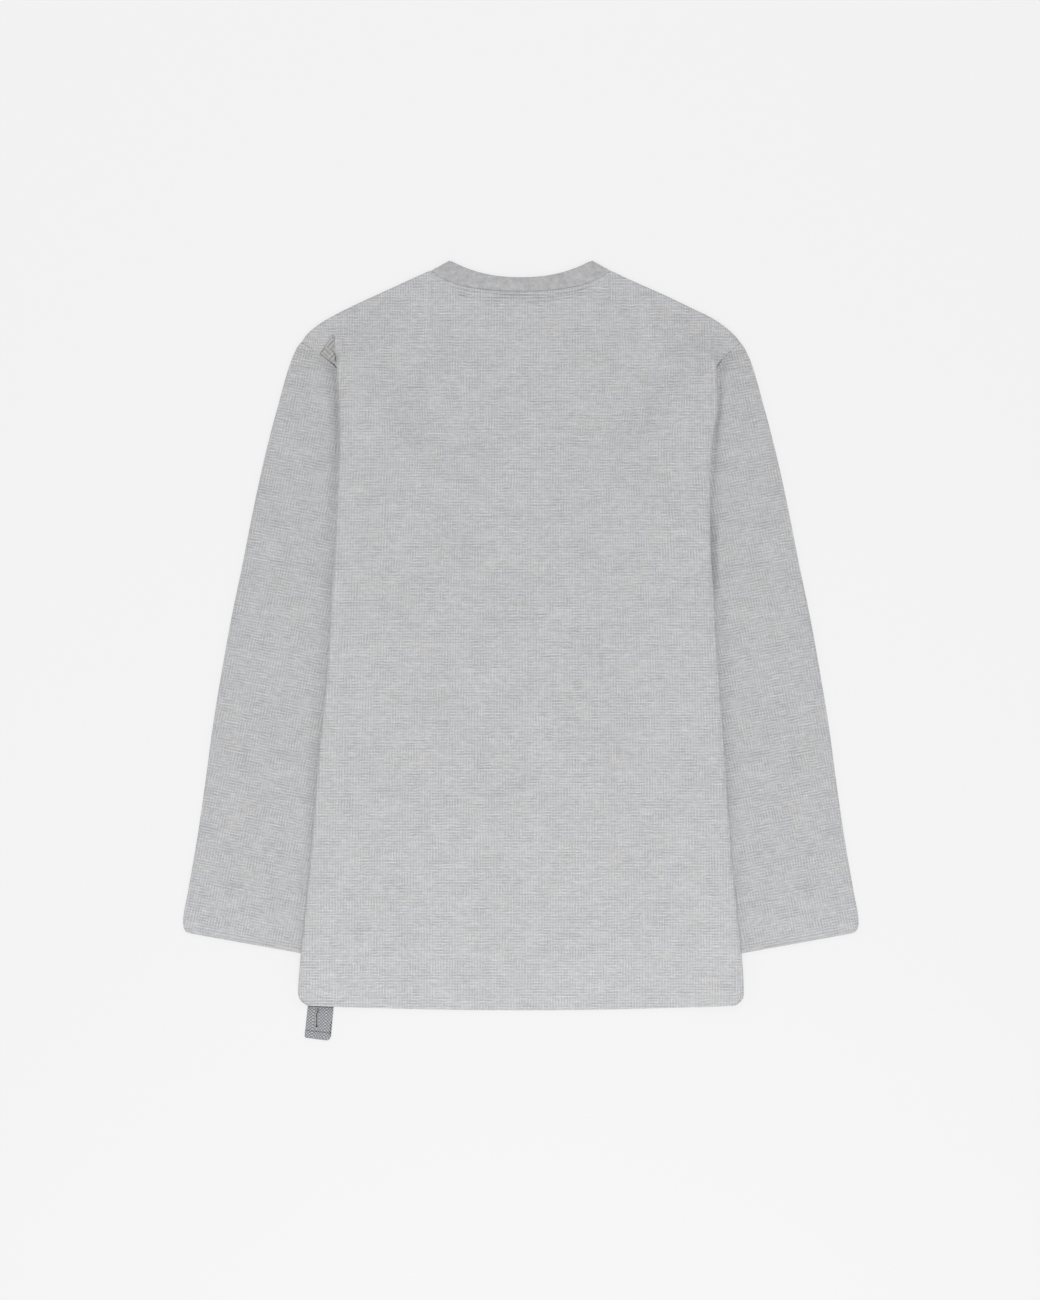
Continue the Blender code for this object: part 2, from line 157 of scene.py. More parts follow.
def stations(length: float, pitch: float, fine: tuple[float, ...] = (), both: bool = True) -> Array:
    """Divides a length, with closer places near its ends where an edge is rounded.

    Args:
        length: The length to divide.
        pitch: The distance between places, nearly.
        fine: Distances of the closer places from an end.
        both: Whether both ends have them, or only the first.

    Returns:
        The places, from 0 to the length.
    """
    first = fine[-1] if fine else 0.0
    last = length - (first if both else 0.0)
    inner = np.linspace(first, last, max(round((last - first) / pitch), 1) + 1)
    near = [0.0, *fine[:-1]] if fine else []
    far = [length - place for place in reversed(near)] if both else []
    return np.array([*near, *inner, *far])


# The laid garment's form


@dataclass(frozen=True)
class Stack:
    """How the layers of cloth lie on each other."""

    wall: float = 1.5
    gap: float = 0.35
    seam: float = 0.04

    @property
    def pitch(self) -> float:
        """From one layer's middle to the next."""
        return self.wall + self.gap

    @property
    def low(self) -> float:
        """Height of the first layer's middle."""
        return self.wall / 2

    @property
    def high(self) -> float:
        """Height of the second layer's middle."""
        return self.wall / 2 + self.pitch

    @property
    def between(self) -> float:
        """Height of the gap between those two."""
        return self.wall + self.gap / 2

    @property
    def fold_reach(self) -> float:
        """From the axis of a flat fold that joins them to its outside."""
        return self.pitch / 2 + self.wall / 2


STACK = Stack()


@dataclass(frozen=True)
class Outline:
    """The sizes that the body's two panels share."""

    top: float = 390.0  # the neck points' distance from the origin, along Y
    shoulder_start: Place = (89.2, 9.5)
    shoulder_fall: float = 0.4545
    tip_start: float = 182.0
    tip_width: float = 38.0
    tip_fall: float = 11.0
    hem_drop: float = 750.4
    hem_lift: float = 5.5
    hem_half: float = 225.0

    def shoulder(self, out: Array, sag: Table) -> Array:
        """Finds the shoulder line, which rounds off at its tip.

        Args:
            out: How far out.
            sag: A side's own sag below the common line: how far out, and how much.

        Returns:
            The drop there.
        """
        rounding = self.tip_fall * (np.maximum(out - self.tip_start, 0.0) / self.tip_width) ** 2
        line = self.shoulder_start[1] + self.shoulder_fall * (out - self.shoulder_start[0])
        places, extra = np.array(sag).T
        return line + rounding + smooth_through(places, extra, np.clip(out, places[0], places[-1] - 0.01))

    def hem(self, x: Array) -> Array:
        """Drop of the back hem."""
        return self.hem_drop - self.hem_lift * (x / self.hem_half) ** 2

    def to_metres(self, points: Array) -> Array:
        """Turns x, drop and height in millimetres into X, Y and Z in metres."""
        return (points * np.array([1.0, -1.0, 1.0]) + np.array([0.0, self.top, 0.0])) * MM


OUTLINE = Outline()


class Neckline(Enum):
    """The two halves of the neck seam."""

    BACK = "back"
    FRONT = "front"


@dataclass(frozen=True)
class Neck:
    """The neck opening and its band."""

    half: float = 89.2
    back_depth: float = 31.0
    back_round: float = 93.0
    back_power: float = 2.2
    front_depth: float = 97.0
    band_half: float = 71.0
    band_back_drop: float = 17.0
    band_back_power: float = 2.3
    band_front_drop: float = 78.0
    last_share: float = 0.965  # the seam runs straight from here to the fold at the neck point
    step: float = 1.0
    samples: int = 60
    columns: int = 34

    def seam_drop(self, line: Neckline, out: Array) -> Array:
        """Drop of the neck seam.

        Args:
            line: The back or the front seam.
            out: How far out.

        Returns:
            The drop there.
        """
        back = (1.0 - (np.abs(out) / self.back_round) ** self.back_power) ** (1.0 / self.back_power)
        if line is Neckline.BACK:
            return self.back_depth * back
        start = self.seam_drop(Neckline.BACK, np.array(self.half))
        return start + (self.front_depth - start) * np.sqrt(np.maximum(1.0 - (out / self.half) ** 2, 0.0))

    def fold(self) -> tuple[Array, Array, Array, Array]:
        """Finds the line that the band is folded on at a neck point.

        Returns:
            Its two ends, at the open edge and at the seam, its direction and the direction square to it.
        """
        edge = np.array([self.band_half, 0.0])
        seam = np.array([self.half, float(self.seam_drop(Neckline.BACK, np.array(self.half)))])
        run = unit(seam - edge)
        outward = np.array([run[1], -run[0]])
        return edge - outward * STACK.fold_reach, seam - outward * STACK.fold_reach, run, outward

    def seam(self, line: Neckline, gap: float) -> Array:
        """Follows half of the neck seam, from the centre to the neck point.

        Args:
            line: The back or the front seam.
            gap: How far from it, away from the neck.

        Returns:
            Points of out and drop, evenly spread.
        """
        out = self.half * np.sin(np.linspace(0.0, math.asin(self.last_share), self.samples))
        fall = self.seam_drop(line, out + self.step) - self.seam_drop(line, out - self.step)
        run = unit(np.stack([np.full_like(fall, 2.0 * self.step), fall], axis=1))
        points = np.stack([out - gap * run[:, 1], self.seam_drop(line, out) + gap * run[:, 0]], axis=1)
        _, end, direction, _ = self.fold()
        points = np.vstack([points, end + direction * gap])
        points[0, 0] = 0.0
        return spread_evenly(points, self.columns)

    def panel_edge(self, line: Neckline) -> Array:
        """Follows a panel's edge along that seam, up to the shoulder.

        Args:
            line: The back or the front seam.

        Returns:
            Points of out and drop.
        """
        _, end, direction, outward = self.fold()
        shoulder = end + direction * STACK.seam + outward * STACK.fold_reach
        return np.vstack([self.seam(line, STACK.seam), shoulder])


NECK = Neck()

# Sections across the body: drop of the tucked edge, and its distance out on the left and on the right
BODY_ROWS: Table = (
    (53, 184.5, 191.5), (68, 184.5, 193), (83, 184.2, 194.5), (97, 184, 195), (106, 183.7, 195.2),
    (114, 183.3, 195.6), (122, 182.8, 196.1), (132, 182.2, 196.6), (150, 181.5, 196), (175, 181, 192.3),
    (208, 182, 190.2), (240, 183.5, 189.1), (285, 185.6, 189.7), (335, 188.9, 192.7), (390, 191.8, 195.8),
    (445, 196.6, 200.1), (500, 202.3, 204.1), (555, 206.5, 207.5), (610, 211.5, 212.1), (660, 216.3, 217.2),
    (700, 220.4, 221.2), (722, 222.2, 222.6), (735, 222.7, 223), (740.5, 220.3, 221.3),
    (743.5, 217.2, 217.8),
)
BODY_DROPS = np.array(BODY_ROWS)[:, 0]
BODY_SHARES = (BODY_DROPS - BODY_DROPS[0]) / (BODY_DROPS[-1] - BODY_DROPS[0])
# Armhole seams: drop and distance out, from the shoulder tip to the underarm
LEFT_ARMHOLE: Table = (
    (82, 219.4), (89.5, 208.5), (96.5, 198), (101.5, 190.5), (108, 184), (116, 177), (132, 166), (150, 155),
    (175, 138.5), (208, 117),
)
RIGHT_ARMHOLE: Table = (
    (82.4, 219.8), (88.5, 213), (94.5, 206), (100, 200.8), (107, 196), (116, 190), (132, 180), (150, 169.5),
    (175, 150.5), (208, 125.2),
)


@dataclass(frozen=True)
class Tuck:
    """How a side of the body is tucked under, from the armhole down to the hem."""

    open_rows: int = 4  # the first sections, where the armhole seam still lies outside the tuck
    turning: Table = ((75.0, 5.8), (105.0, 5.2), (140.0, 5.9))  # then degrees of turn, and cloth beyond it
    bends: Table = (  # drop, and the radius of the tucked edge's bend
        (53, 2.8), (83, 4.1), (97, 4.4), (132, 4.3), (190, 4), (240, 3.4), (300, 2.9), (500, 2.8),
        (640, 2.2), (743.5, 1.9),
    )
    rise_from: float = 50.0
    rise_to: float = 102.0
    open_width: float = 6.0
    at_hem: float = 24.0
    slope: float = 68.0
    margin: float = 4.0
    cuff_clear: float = 10.0
    cuff_fall: float = 36.0
    square_row: int = -3
    flap_columns: int = 16
    bend_columns: int = 9
    slope_columns: int = 20
    seam_fine: tuple[float, ...] = (1.0, 0.997, 0.99, 0.975)  # shares of the flap beside its seam

    @property
    def first_tucked(self) -> int:
        """The first section whose side is wholly under."""
        return self.open_rows + len(self.turning)

    @property
    def flap(self) -> Array:
        """Places across the flap, from its seam to just before the bend."""
        return np.array([*self.seam_fine, *np.linspace(0.95, 0.0, self.flap_columns, endpoint=False)])

    @property
    def bend(self) -> Array:
        """Places round the bend, from the flap to just before its top."""
        return np.linspace(1.0, 0.0, self.bend_columns, endpoint=False)

    @property
    def turned(self) -> Array:
        """Places from the seam to the bend's top, where the side still lies open."""
        share = self.bend_columns / (self.bend_columns + self.flap_columns)
        return np.concatenate([mix(share, 1.0, self.flap), share * self.bend])


TUCK = Tuck()


class Hand(Enum):
    """The two sides of the laid top, seen from above."""

    LEFT = -1
    RIGHT = 1


@dataclass(frozen=True)
class Side:
    """One side of the body, with the sleeve under it."""

    hand: Hand
    armhole: Table
    cuff_inner: float
    flanks: tuple[float, ...]  # how steeply the open sections fall towards their seam
    sag: Table  # how the shoulder sags: how far out, and how much
    cuff_inner_drop: float = 694.2

    @property
    def sign(self) -> int:
        """-1 on the left and 1 on the right."""
        return self.hand.value

    @property
    def folds(self) -> Array:
        """How far out the tucked edge is in each section."""
        return np.array(BODY_ROWS)[:, 1 if self.hand is Hand.LEFT else 2]

    @property
    def underarm(self) -> Place:
        """Drop and distance out of the armhole's lower end."""
        return self.armhole[-1]

    def fold(self, drop: Array) -> Array:
        """How far out the tucked edge is at a drop."""
        return np.interp(drop, BODY_DROPS, self.folds)

    def seam(self, drop: Array) -> Array:
        """Finds the inner edge of what is tucked under: the armhole, then the side seam.

        Args:
            drop: How far down.

        Returns:
            How far out it is there.
        """
        start, square = self.underarm[0], BODY_DROPS[TUCK.square_row]
        at_hem = self.folds[TUCK.square_row] - TUCK.at_hem
        side_seam = mix(self.underarm[1], at_hem, (drop - start) / (square - start))
        return np.where(drop <= start, read(self.armhole, drop), side_seam)

    def bend(self, drop: Array) -> Array:
        """The radius of the tucked edge's bend, half way through the cloth."""
        return read(TUCK.bends, drop)

    def reach(self, drop: Array) -> Array:
        """From the bend's middle to its outside."""
        return self.bend(drop) + STACK.pitch / 2 + STACK.wall / 2

    def axis(self, index: int) -> float:
        """How far out the bend's middle is in a section."""
        return self.folds[index] - float(self.reach(BODY_DROPS[index]))

    def sleeve_inner(self, drop: Array) -> Array:
        """How far out the sleeve's inner edge is at a drop, under the body."""
        return read((*self.armhole, (self.cuff_inner_drop, self.cuff_inner)), drop)

    def on_sleeve(self, out: Array, drop: Array) -> Array:
        """How high the sleeve raises what lies on it.

        Args:
            out: How far out.
            drop: How far down.

        Returns:
            The height there.
        """
        past_edge = self.sleeve_inner(drop) - TUCK.margin - out
        past_cuff = drop - self.cuff_inner_drop - TUCK.cuff_clear
        beside = 1.0 - ease(past_edge / TUCK.slope)
        return 2.0 * STACK.pitch * beside * (1.0 - ease(past_cuff / TUCK.cuff_fall))

    def lift(self, out: Array, drop: Array) -> Array:
        """How high the sleeve and the tucked layers raise the body.

        Args:
            out: How far out.
            drop: How far down.

        Returns:
            The height there.
        """
        edge = np.minimum(self.seam(drop), self.fold(drop) - self.reach(drop))
        on_tuck = 2.0 * self.bend(drop) * (1.0 - ease((edge - TUCK.margin - out) / TUCK.slope))
        risen = ease((drop - TUCK.rise_from) / (TUCK.rise_to - TUCK.rise_from))
        return (self.on_sleeve(out, drop) + on_tuck) * risen

    def turned_edge(self, index: int) -> Array:
        """Follows a section from its seam, round the tuck, to the top of its bend.

        Args:
            index: Which of the body's sections.

        Returns:
            Points of out, drop and height.
        """
        drop, axis = BODY_DROPS[index], self.axis(index)
        raised, bend = float(self.lift(np.array(axis), np.array(drop))), float(self.bend(drop))
        if index < TUCK.open_rows:
            seam_drop, seam = self.armhole[index]
            share = TUCK.turned
            out = mix(axis, seam, share)
            here = mix(drop, seam_drop, share) if index else OUTLINE.shoulder(out, self.sag)
            fallen = ease(share * self.flanks[index])
            return np.stack([out, here, STACK.between + raised * (1.0 - fallen)], axis=1)
        under = index >= TUCK.first_tucked
        tucked = (180.0, axis - float(self.seam(drop)))
        turn, length = tucked if under else TUCK.turning[index - TUCK.open_rows]
        turn = math.radians(turn)
        middle = STACK.between + raised - bend
        out = axis + bend * math.sin(turn) + length * TUCK.flap * math.cos(turn)
        free = middle + bend * math.cos(turn) - length * TUCK.flap * math.sin(turn)
        height = STACK.between + self.on_sleeve(out, np.full_like(out, drop)) if under else free
        angle = turn * TUCK.bend
        out = np.concatenate([out, axis + bend * np.sin(angle)])
        height = np.concatenate([height, middle + bend * np.cos(angle)])
        return np.stack([out, np.full_like(out, drop), height], axis=1)


LEFT = Side(
    Hand.LEFT,
    LEFT_ARMHOLE,
    215,
    flanks=(1.0, 1.3, 1.6, 2.0),
    sag=(
        (60, 0), (150, 0.1), (175, 0.5), (187, 1.1), (199, 0.5), (211, 0), (215.5, 0.5), (219.4, 2.65),
        (230, 2.65),
    ),
)
RIGHT = Side(
    Hand.RIGHT,
    RIGHT_ARMHOLE,
    217.3,
    flanks=(1.0, 1.0, 1.05, 1.15),
    sag=(
        (60, 0), (88, 0.2), (105, 0.9), (145, 0.5), (182, 1.4), (206, 1), (215, 1.3), (219.8, 2.7),
        (230, 2.7),
    ),
)


@dataclass(frozen=True)
class Pocket:
    """The small hollow on the left between the body's folded edge and the armhole seam."""

    side: Side
    apex: Place = (189.5, 75.5)  # out and drop
    outer_end: Place = (202.4, 96.6)
    edge: float = 184.0
    end_drop: float = 114.0
    fullness: float = 0.97
    softness: float = 2.0
    flank: float = 3.0
    centre: Place = (189.0, 93.0)
    weave_turn: float = math.radians(45.0)

    def share(self, x: Array, drop: Array) -> Array:
        """How much of the hollow is at each place: 1 well inside it, and 0 outside.

        Args:
            x: Places on the laid cloth, across.
            drop: The same places, down.

        Returns:
            The share at each place.
        """
        out = x * self.side.sign
        run = unit(np.subtract(self.outer_end, self.apex))
        inside = (drop - self.apex[1]) * run[0] - (out - self.apex[0]) * run[1]
        reach = ease((out - self.edge) / self.softness) * ease(inside / self.flank)
        below_apex = ease((drop - self.apex[1]) / self.softness)
        return reach * below_apex * ease((self.end_drop - drop) / self.softness)

    def turn_weave(self, places: Array, share: Array) -> Array:
        """Turns the cloth's grain inside the hollow, where the cloth is pulled askew.

        Args:
            places: Places on the flat cloth.
            share: How much of the hollow is at each.

        Returns:
            The turned places.
        """
        centre = np.array([self.side.sign * self.centre[0], self.centre[1]])
        turn = self.weave_turn * share
        across, down = np.moveaxis(places - centre, -1, 0)
        turned = (across * np.cos(turn) - down * np.sin(turn), across * np.sin(turn) + down * np.cos(turn))
        return centre + np.stack(turned, axis=-1)


POCKET = Pocket(LEFT)


# Creases


@dataclass(frozen=True)
class Crease:
    """A soft ridge in laid cloth, along a bent line of x and drop."""

    start: Place
    bend: Place
    end: Place
    height: float
    width: float
    other_width: float
    fade: float = 0.8  # how soon it reaches its height from its ends
    samples: int = 28

    def relief(self, x: Array, drop: Array) -> Array:
        """Raises the cloth along the crease.

        Args:
            x: Places on the cloth, across.
            drop: The same places, down.

        Returns:
            How far each place is raised.
        """
        t = np.linspace(0.0, 1.0, self.samples)[:, None]
        a, b, c = (np.array(place) for place in (self.start, self.bend, self.end))
        line = (1.0 - t) ** 2 * a + 2.0 * t * (1.0 - t) * b + t * t * c
        ways = 2.0 * (1.0 - t) * (b - a) + 2.0 * t * (c - b)
        away_x = x[..., None] - line[:, 0]
        away_drop = drop[..., None] - line[:, 1]
        apart = away_x**2 + away_drop**2
        cross = away_x * ways[:, 1] - away_drop * ways[:, 0]
        nearest = apart.argmin(axis=-1)
        at = nearest[..., None]
        apart, cross = (np.take_along_axis(found, at, -1)[..., 0] for found in (apart, cross))
        width = np.where(cross > 0.0, self.width, self.other_width)
        fade = np.sin(math.pi * t[nearest, 0]) ** self.fade
        return self.height * fade * np.exp(-apart / width**2)


def raised_by(creases: tuple[Crease, ...], x: Array, drop: Array) -> Array:
    """Adds up how far several creases raise each place."""
    return sum((crease.relief(x, drop) for crease in creases), np.zeros_like(x))


@dataclass(frozen=True)
class Slackness:
    """The slight waves of cloth that nothing holds flat."""

    depth: float
    longest: float = 190.0
    shortest: float = 55.0
    waves: int = 9
    seed: int = 5

    def relief(self, x: Array, drop: Array) -> Array:
        """Waves the cloth.

        Args:
            x: Places on the cloth, across.
            drop: The same places, down.

        Returns:
            How far each place is raised, never below zero.
        """
        chance = np.random.default_rng(self.seed)
        total = np.zeros_like(x)
        for share in np.linspace(0.0, 1.0, self.waves):
            length = mix(self.longest, self.shortest, share)
            angle, phase = chance.uniform(0.0, FULL_TURN, 2)
            across = x * math.cos(angle) + drop * math.sin(angle)
            total += np.sin(FULL_TURN * across / length + phase) * length
        total -= total.min()
        return self.depth * total / total.max()


# Meshes


@dataclass(frozen=True)
class Rim:
    """How an edge is rounded off: over what distance, and whether it closes on the inner side."""

    radius: float
    closes_inward: bool = False

    def fullness(self, distance: Array) -> Array:
        """How much of the wall's thickness is there, at a distance from the edge."""
        return np.sqrt(1.0 - (1.0 - np.clip(distance / self.radius, 0.0, 1.0)) ** 2)


HEM_RIM = Rim(0.75)
SEWN_RIM = Rim(0.15)
NECK_RIM = Rim(0.1)
CLOSED_RIM = Rim(1.8, True)
RIM_FINE = (0.12, 0.45, 1.0, 1.8)
NECK_FINE = (
    0.12, 0.45, 1, 1.8, 2.4, 2.9, 3.3, 3.7, 4.1, 4.5, 5, 5.6, 6.1, 6.5, 6.9, 7.3, 7.8,
    8.4, 9, 9.4, 9.8, 10.2, 10.7, 11.3, 12.2, 13.5,
)


def tapered(grid: Array, wall: float) -> Array:
    """Half a wall's thickness all over a grid, and nothing along its edges."""
    return np.pad(np.full((grid.shape[0] - 2, grid.shape[1] - 2), wall / 2), 1)


def closed_up(loops: Array) -> Array:
    """Ends each loop with its first point again."""
    return np.concatenate([loops, loops[:, :1]], axis=1)


def fold_over(ends: Array, outward: Array, columns: int) -> tuple[Array, Array]:
    """Goes round a flat fold, from the upper layer to the lower one.

    Args:
        ends: Where the fold's axis lies, as out and drop.
        outward: The direction that the fold faces there.
        columns: How many points go round it.

    Returns:
        The points round it as out, drop and height, and the outward direction at each.
    """
    turns = np.linspace(0.0, math.pi, columns + 2)[1:-1]
    ways = raised_to(outward[..., None, :] * np.sin(turns)[:, None], np.cos(turns))
    return raised_to(ends, STACK.between)[..., None, :] + ways * STACK.pitch / 2, ways


def make_piece(
    name: str, points: Array, faces: list[list[int]], maps: dict[str, Array], material: Material
) -> Piece:
    """Makes a smooth mesh and links it to the scene as a piece.

    Args:
        name: The piece's name.
        points: The mesh's points, in metres.
        faces: Their numbers, round each face.
        maps: The mesh's maps by name, with a place for each corner of its faces.
        material: What it is made of.

    Returns:
        The piece.
    """
    mesh = bpy.data.meshes.new(name)
    mesh.from_pydata(points.tolist(), [], faces)
    for label, places in maps.items():
        layer = mesh.uv_layers.new(name=label)
        layer.data.foreach_set("uv", np.ascontiguousarray(places, np.float32).ravel())
    mesh.shade_smooth()
    mesh.materials.append(material)
    piece = bpy.data.objects.new(name, mesh)
    bpy.context.scene.collection.objects.link(piece)
    return piece


@dataclass
class Shell:
    """A cloth wall: a grid of points on each face of it, which meet at its rounded edges."""

    outer: Array  # rows, columns and x, drop, height
    inner: Array
    places: Array  # the same grid on the flat cloth, with one more column where the cloth is a tube
    looped: bool = False
    left_out: Array | None = None  # cells of the grid that are cut away
    outer_strip: Place = (0.004, 0.63)  # shares of the bake map's width
    cut_strip: Place = (0.632, 0.638)
    inner_strip: Place = (0.64, 0.996)
    cut_share: float = 0.8  # how much of the cut strip is filled

    @classmethod
    def walled(cls, grid: Array, half: Array, places: Array, ways: Array = UP, **more: object) -> "Shell":
        """Puts half of a wall on each side of a surface.

        Args:
            grid: The surface.
            half: Half of the wall's thickness, at each point.
            places: The same grid on the flat cloth.
            ways: The direction of the outer side, at each point.
            more: The shell's other fields.

        Returns:
            The shell.
        """
        off = ways * half[..., None]
        return cls(grid + off, grid - off, places, **more)

    def cells(self) -> tuple[Array, Array]:
        """Lists the grid's cells.

        Returns:
            The row and column of each corner, four for each cell.
        """
        rows, columns = self.outer.shape[:2]
        r, c = np.meshgrid(np.arange(rows - 1), np.arange(columns - (0 if self.looped else 1)), indexing="ij")
        if self.left_out is not None:
            r, c = r[~self.left_out], c[~self.left_out]
        r, c = r.ravel(), c.ravel()
        return np.stack([r, r + 1, r + 1, r], axis=1), np.stack([c, c, c + 1, c + 1], axis=1)

    def chart(self, r: Array, c: Array, strip: Place) -> Array:
        """Fits one face of the wall into an upright strip of the bake map.

        Args:
            r: Rows of the corners.
            c: Columns of the corners.
            strip: Where the strip starts and ends, as shares of the square.

        Returns:
            The corners' places in the square.
        """
        low, high = self.places.min(axis=(0, 1)), self.places.max(axis=(0, 1))
        across, down = np.moveaxis((self.places[r, c] - low) / (high - low), -1, 0)
        return np.stack([mix(*strip, across), mix(self.outer_strip[0], self.inner_strip[1], down)], axis=-1)

    def build(self, name: str, material: Material) -> Piece:
        """Makes the mesh.

        Args:
            name: The piece's name.
            material: What it is made of.

        Returns:
            The piece, linked to the scene.
        """
        rows, columns = self.outer.shape[:2]
        count = rows * columns
        r, c = self.cells()
        near = np.arange(count).reshape(rows, columns)
        shared = np.zeros((rows, columns), bool)
        shared[[0, -1]] = True
        if not self.looped:
            shared[:, [0, -1]] = True
        far = np.where(shared, near, near + count)
        upper, lower = near[r, c % columns], far[r, c % columns][:, ::-1]
        faces, places = [upper, lower], [self.places[r, c], self.places[r, c][:, ::-1]]
        charts = [self.chart(r, c, self.outer_strip), self.chart(r, c, self.inner_strip)[:, ::-1]]
        if self.left_out is not None:
            rim = self.cut_edges(upper, far, near)
            faces.append(rim)
            places.append(self.places.reshape(-1, 2)[rim % count])
            left, right = self.cut_strip
            high = self.cut_share / len(rim)
            square = np.array([(left, 0.0), (right, 0.0), (right, high), (left, high)])
            charts.append(square + np.arange(len(rim))[:, None, None] / len(rim) * np.array([0.0, 1.0]))
        points = OUTLINE.to_metres(np.concatenate([self.outer.reshape(-1, 3), self.inner.reshape(-1, 3)]))
        faces = np.concatenate(faces)
        first, second, third, fourth = np.moveaxis(points[faces], 1, 0)
        volume = np.sum(first * (np.cross(second, third) + np.cross(third, fourth)))
        turn = slice(None, None, -1 if volume < 0.0 else 1)
        used, index = np.unique(faces[:, turn], return_inverse=True)
        maps = {CLOTH_MAP: np.concatenate(places)[:, turn] * MM, BAKE_MAP: np.concatenate(charts)[:, turn]}
        return make_piece(name, points[used], index.reshape(faces.shape).tolist(), maps, material)

    @staticmethod
    def cut_edges(upper: Array, far: Array, near: Array) -> Array:
        """Joins the wall's two faces round what is cut away.

        Args:
            upper: The outer face's cells, as point numbers.
            far: The inner face's point numbers.
            near: The outer face's point numbers.

        Returns:
            The cells of the cut's walls.
        """
        known = {edge for k in range(4) for edge in zip(upper[:, k].tolist(), upper[:, (k + 1) % 4].tolist())}
        partner = dict(zip(near.ravel().tolist(), far.ravel().tolist()))
        open_edges = [(a, b) for a, b in known if (b, a) not in known]
        cut = [(a, b) for a, b in open_edges if partner[a] != a or partner[b] != b]
        return np.array([(b, a, partner[a], partner[b]) for a, b in sorted(cut)])


class Slot(Enum):
    """The record's material slots."""

    WAFFLE = "waffle_knit"
    BAND = "neckband_knit"
    TAPE = "twill_tape"


def dress(piece: Piece, slot: Slot, *nodes: str) -> Piece:
    """Ties a piece to the frame.

    Args:
        piece: The piece.
        slot: Not used.
        nodes: The CAD nodes that it stands for.

    Returns:
        The piece.
    """
    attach(piece, BODY)
    if nodes:
        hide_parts(*nodes)
    log.info("%s: %d faces", piece.name, len(piece.data.polygons))
    return piece


# Finishes


class Shader:
    """Lays out the nodes of one material."""

    def __init__(self, name: str) -> None:
        """Starts a material with a plain surface shader.

        Args:
            name: The material's name.
        """
        self.material = bpy.data.materials.new(name)
        self.material.use_nodes = True
        self.tree = self.material.node_tree
        self.surface = self.tree.nodes["Principled BSDF"]

    def add(
        self, kind: str, values: dict | Iterable = (), output: int | str = 0, **settings: object
    ) -> Socket:
        """Adds a node and feeds it.

        Args:
            kind: Blender's name for it, without ShaderNode.
            values: What goes into its inputs, in their order, or by their names or numbers.
            output: Which output is wanted.
            settings: Its properties.

        Returns:
            That output.
        """
        made = self.tree.nodes.new("ShaderNode" + kind)
        for label, value in settings.items():
            setattr(made, label, value)
        for key, value in values.items() if isinstance(values, dict) else enumerate(values):
            if isinstance(value, Socket):
                self.tree.links.new(value, made.inputs[key])
            else:
                made.inputs[key].default_value = value
        return made.outputs[output]

    def sum(self, operation: str, *values: Socket | float) -> Socket:
        """Works out a sum on numbers, by Blender's name for it."""
        return self.add("Math", values, operation=operation)

    def times(self, *values: Socket | float) -> Socket:
        """Multiplies numbers."""
        return reduce(lambda a, b: self.sum("MULTIPLY", a, b), values)

    def rest(self, value: Socket) -> Socket:
        """What a number leaves of 1."""
        return self.sum("SUBTRACT", 1.0, value)

    def turns(self, value: Socket, pitch: float) -> Socket:
        """An angle that goes once round for each pitch in millimetres."""
        return self.times(value, FULL_TURN / (pitch * MM))

    def wave(self, angle: Socket, operation: str = "SINE") -> Socket:
        """A wave of an angle, from 0 to 1."""
        return self.remap(self.sum(operation, angle), -1.0, 1.0, 0.0, 1.0)

    def cloth(self) -> tuple[Socket, Socket, Socket]:
        """The place on the flat cloth: across it, along it, and both as a vector."""
        place = self.add("UVMap", uv_map=CLOTH_MAP)
        return self.add("SeparateXYZ", (place,), "X"), self.add("SeparateXYZ", (place,), "Y"), place

    def vector(self, *values: Socket | float) -> Socket:
        """Joins numbers into a vector."""
        return self.add("CombineXYZ", values)

    def noise(self, place: Socket, scale: float = 1.0, detail: float = 1.0) -> Socket:
        """Soft noise of about one half on average. The detail is how many finer noises lie over it."""
        return self.add("TexNoise", {"Vector": place, "Scale": scale, "Detail": detail})

    def remap(self, value: Socket, low: float, high: float, to_low: float, to_high: float) -> Socket:
        """Stretches a number from one range to another, held within it."""
        return self.add("MapRange", (value, low, high, to_low, to_high))

    def vary(self, noise: Socket, contrast: float) -> Socket:
        """Turns noise into a factor round 1."""
        return self.remap(noise, *NOISE_SPAN, 1.0 - contrast, 1.0 + contrast)

    def blend(self, share: Socket, a: Colour, b: Colour) -> Socket:
        """Mixes two colours, by the share of the second."""
        return self.add("Mix", {0: share, 6: (*a, 1.0), 7: (*b, 1.0)}, 2, data_type="RGBA")

    def shade(self, colour: Socket, factor: Socket) -> Socket:
        """Makes a colour darker or lighter by a factor."""
        return self.add("VectorMath", {0: colour, "Scale": factor}, operation="SCALE")

    def bump(self, height: Socket, depth: float, **under: Socket) -> Socket:
        """Turns a height from 0 to 1 into a surface direction. Normal is one that it is added to."""
        return self.add("Bump", {"Strength": 1.0, "Distance": depth * MM, "Height": height, **under})

    def finish(self, colour: Socket, numbers: dict[str, object], **links: Socket) -> Material:
        """Ties up the surface.

        Args:
            colour: Its colour.
            numbers: What is the same all over it, by the name of the socket.
            links: What else changes over it, by the name of the socket.

        Returns:
            The material.
        """
        for name, socket in {"Base Color": colour, **links}.items():
            self.tree.links.new(socket, self.surface.inputs[name])
        for name, number in numbers.items():
            self.surface.inputs[name].default_value = number
        return self.material


def matt(roughness: float, sheen: float) -> dict[str, float]:
    """How cloth shines: as roughly as this, with this much sheen where its nap is seen at a slant."""
    return {"Roughness": roughness, "Specular IOR Level": 0.2, "Sheen Weight": sheen, "Sheen Roughness": 0.6}


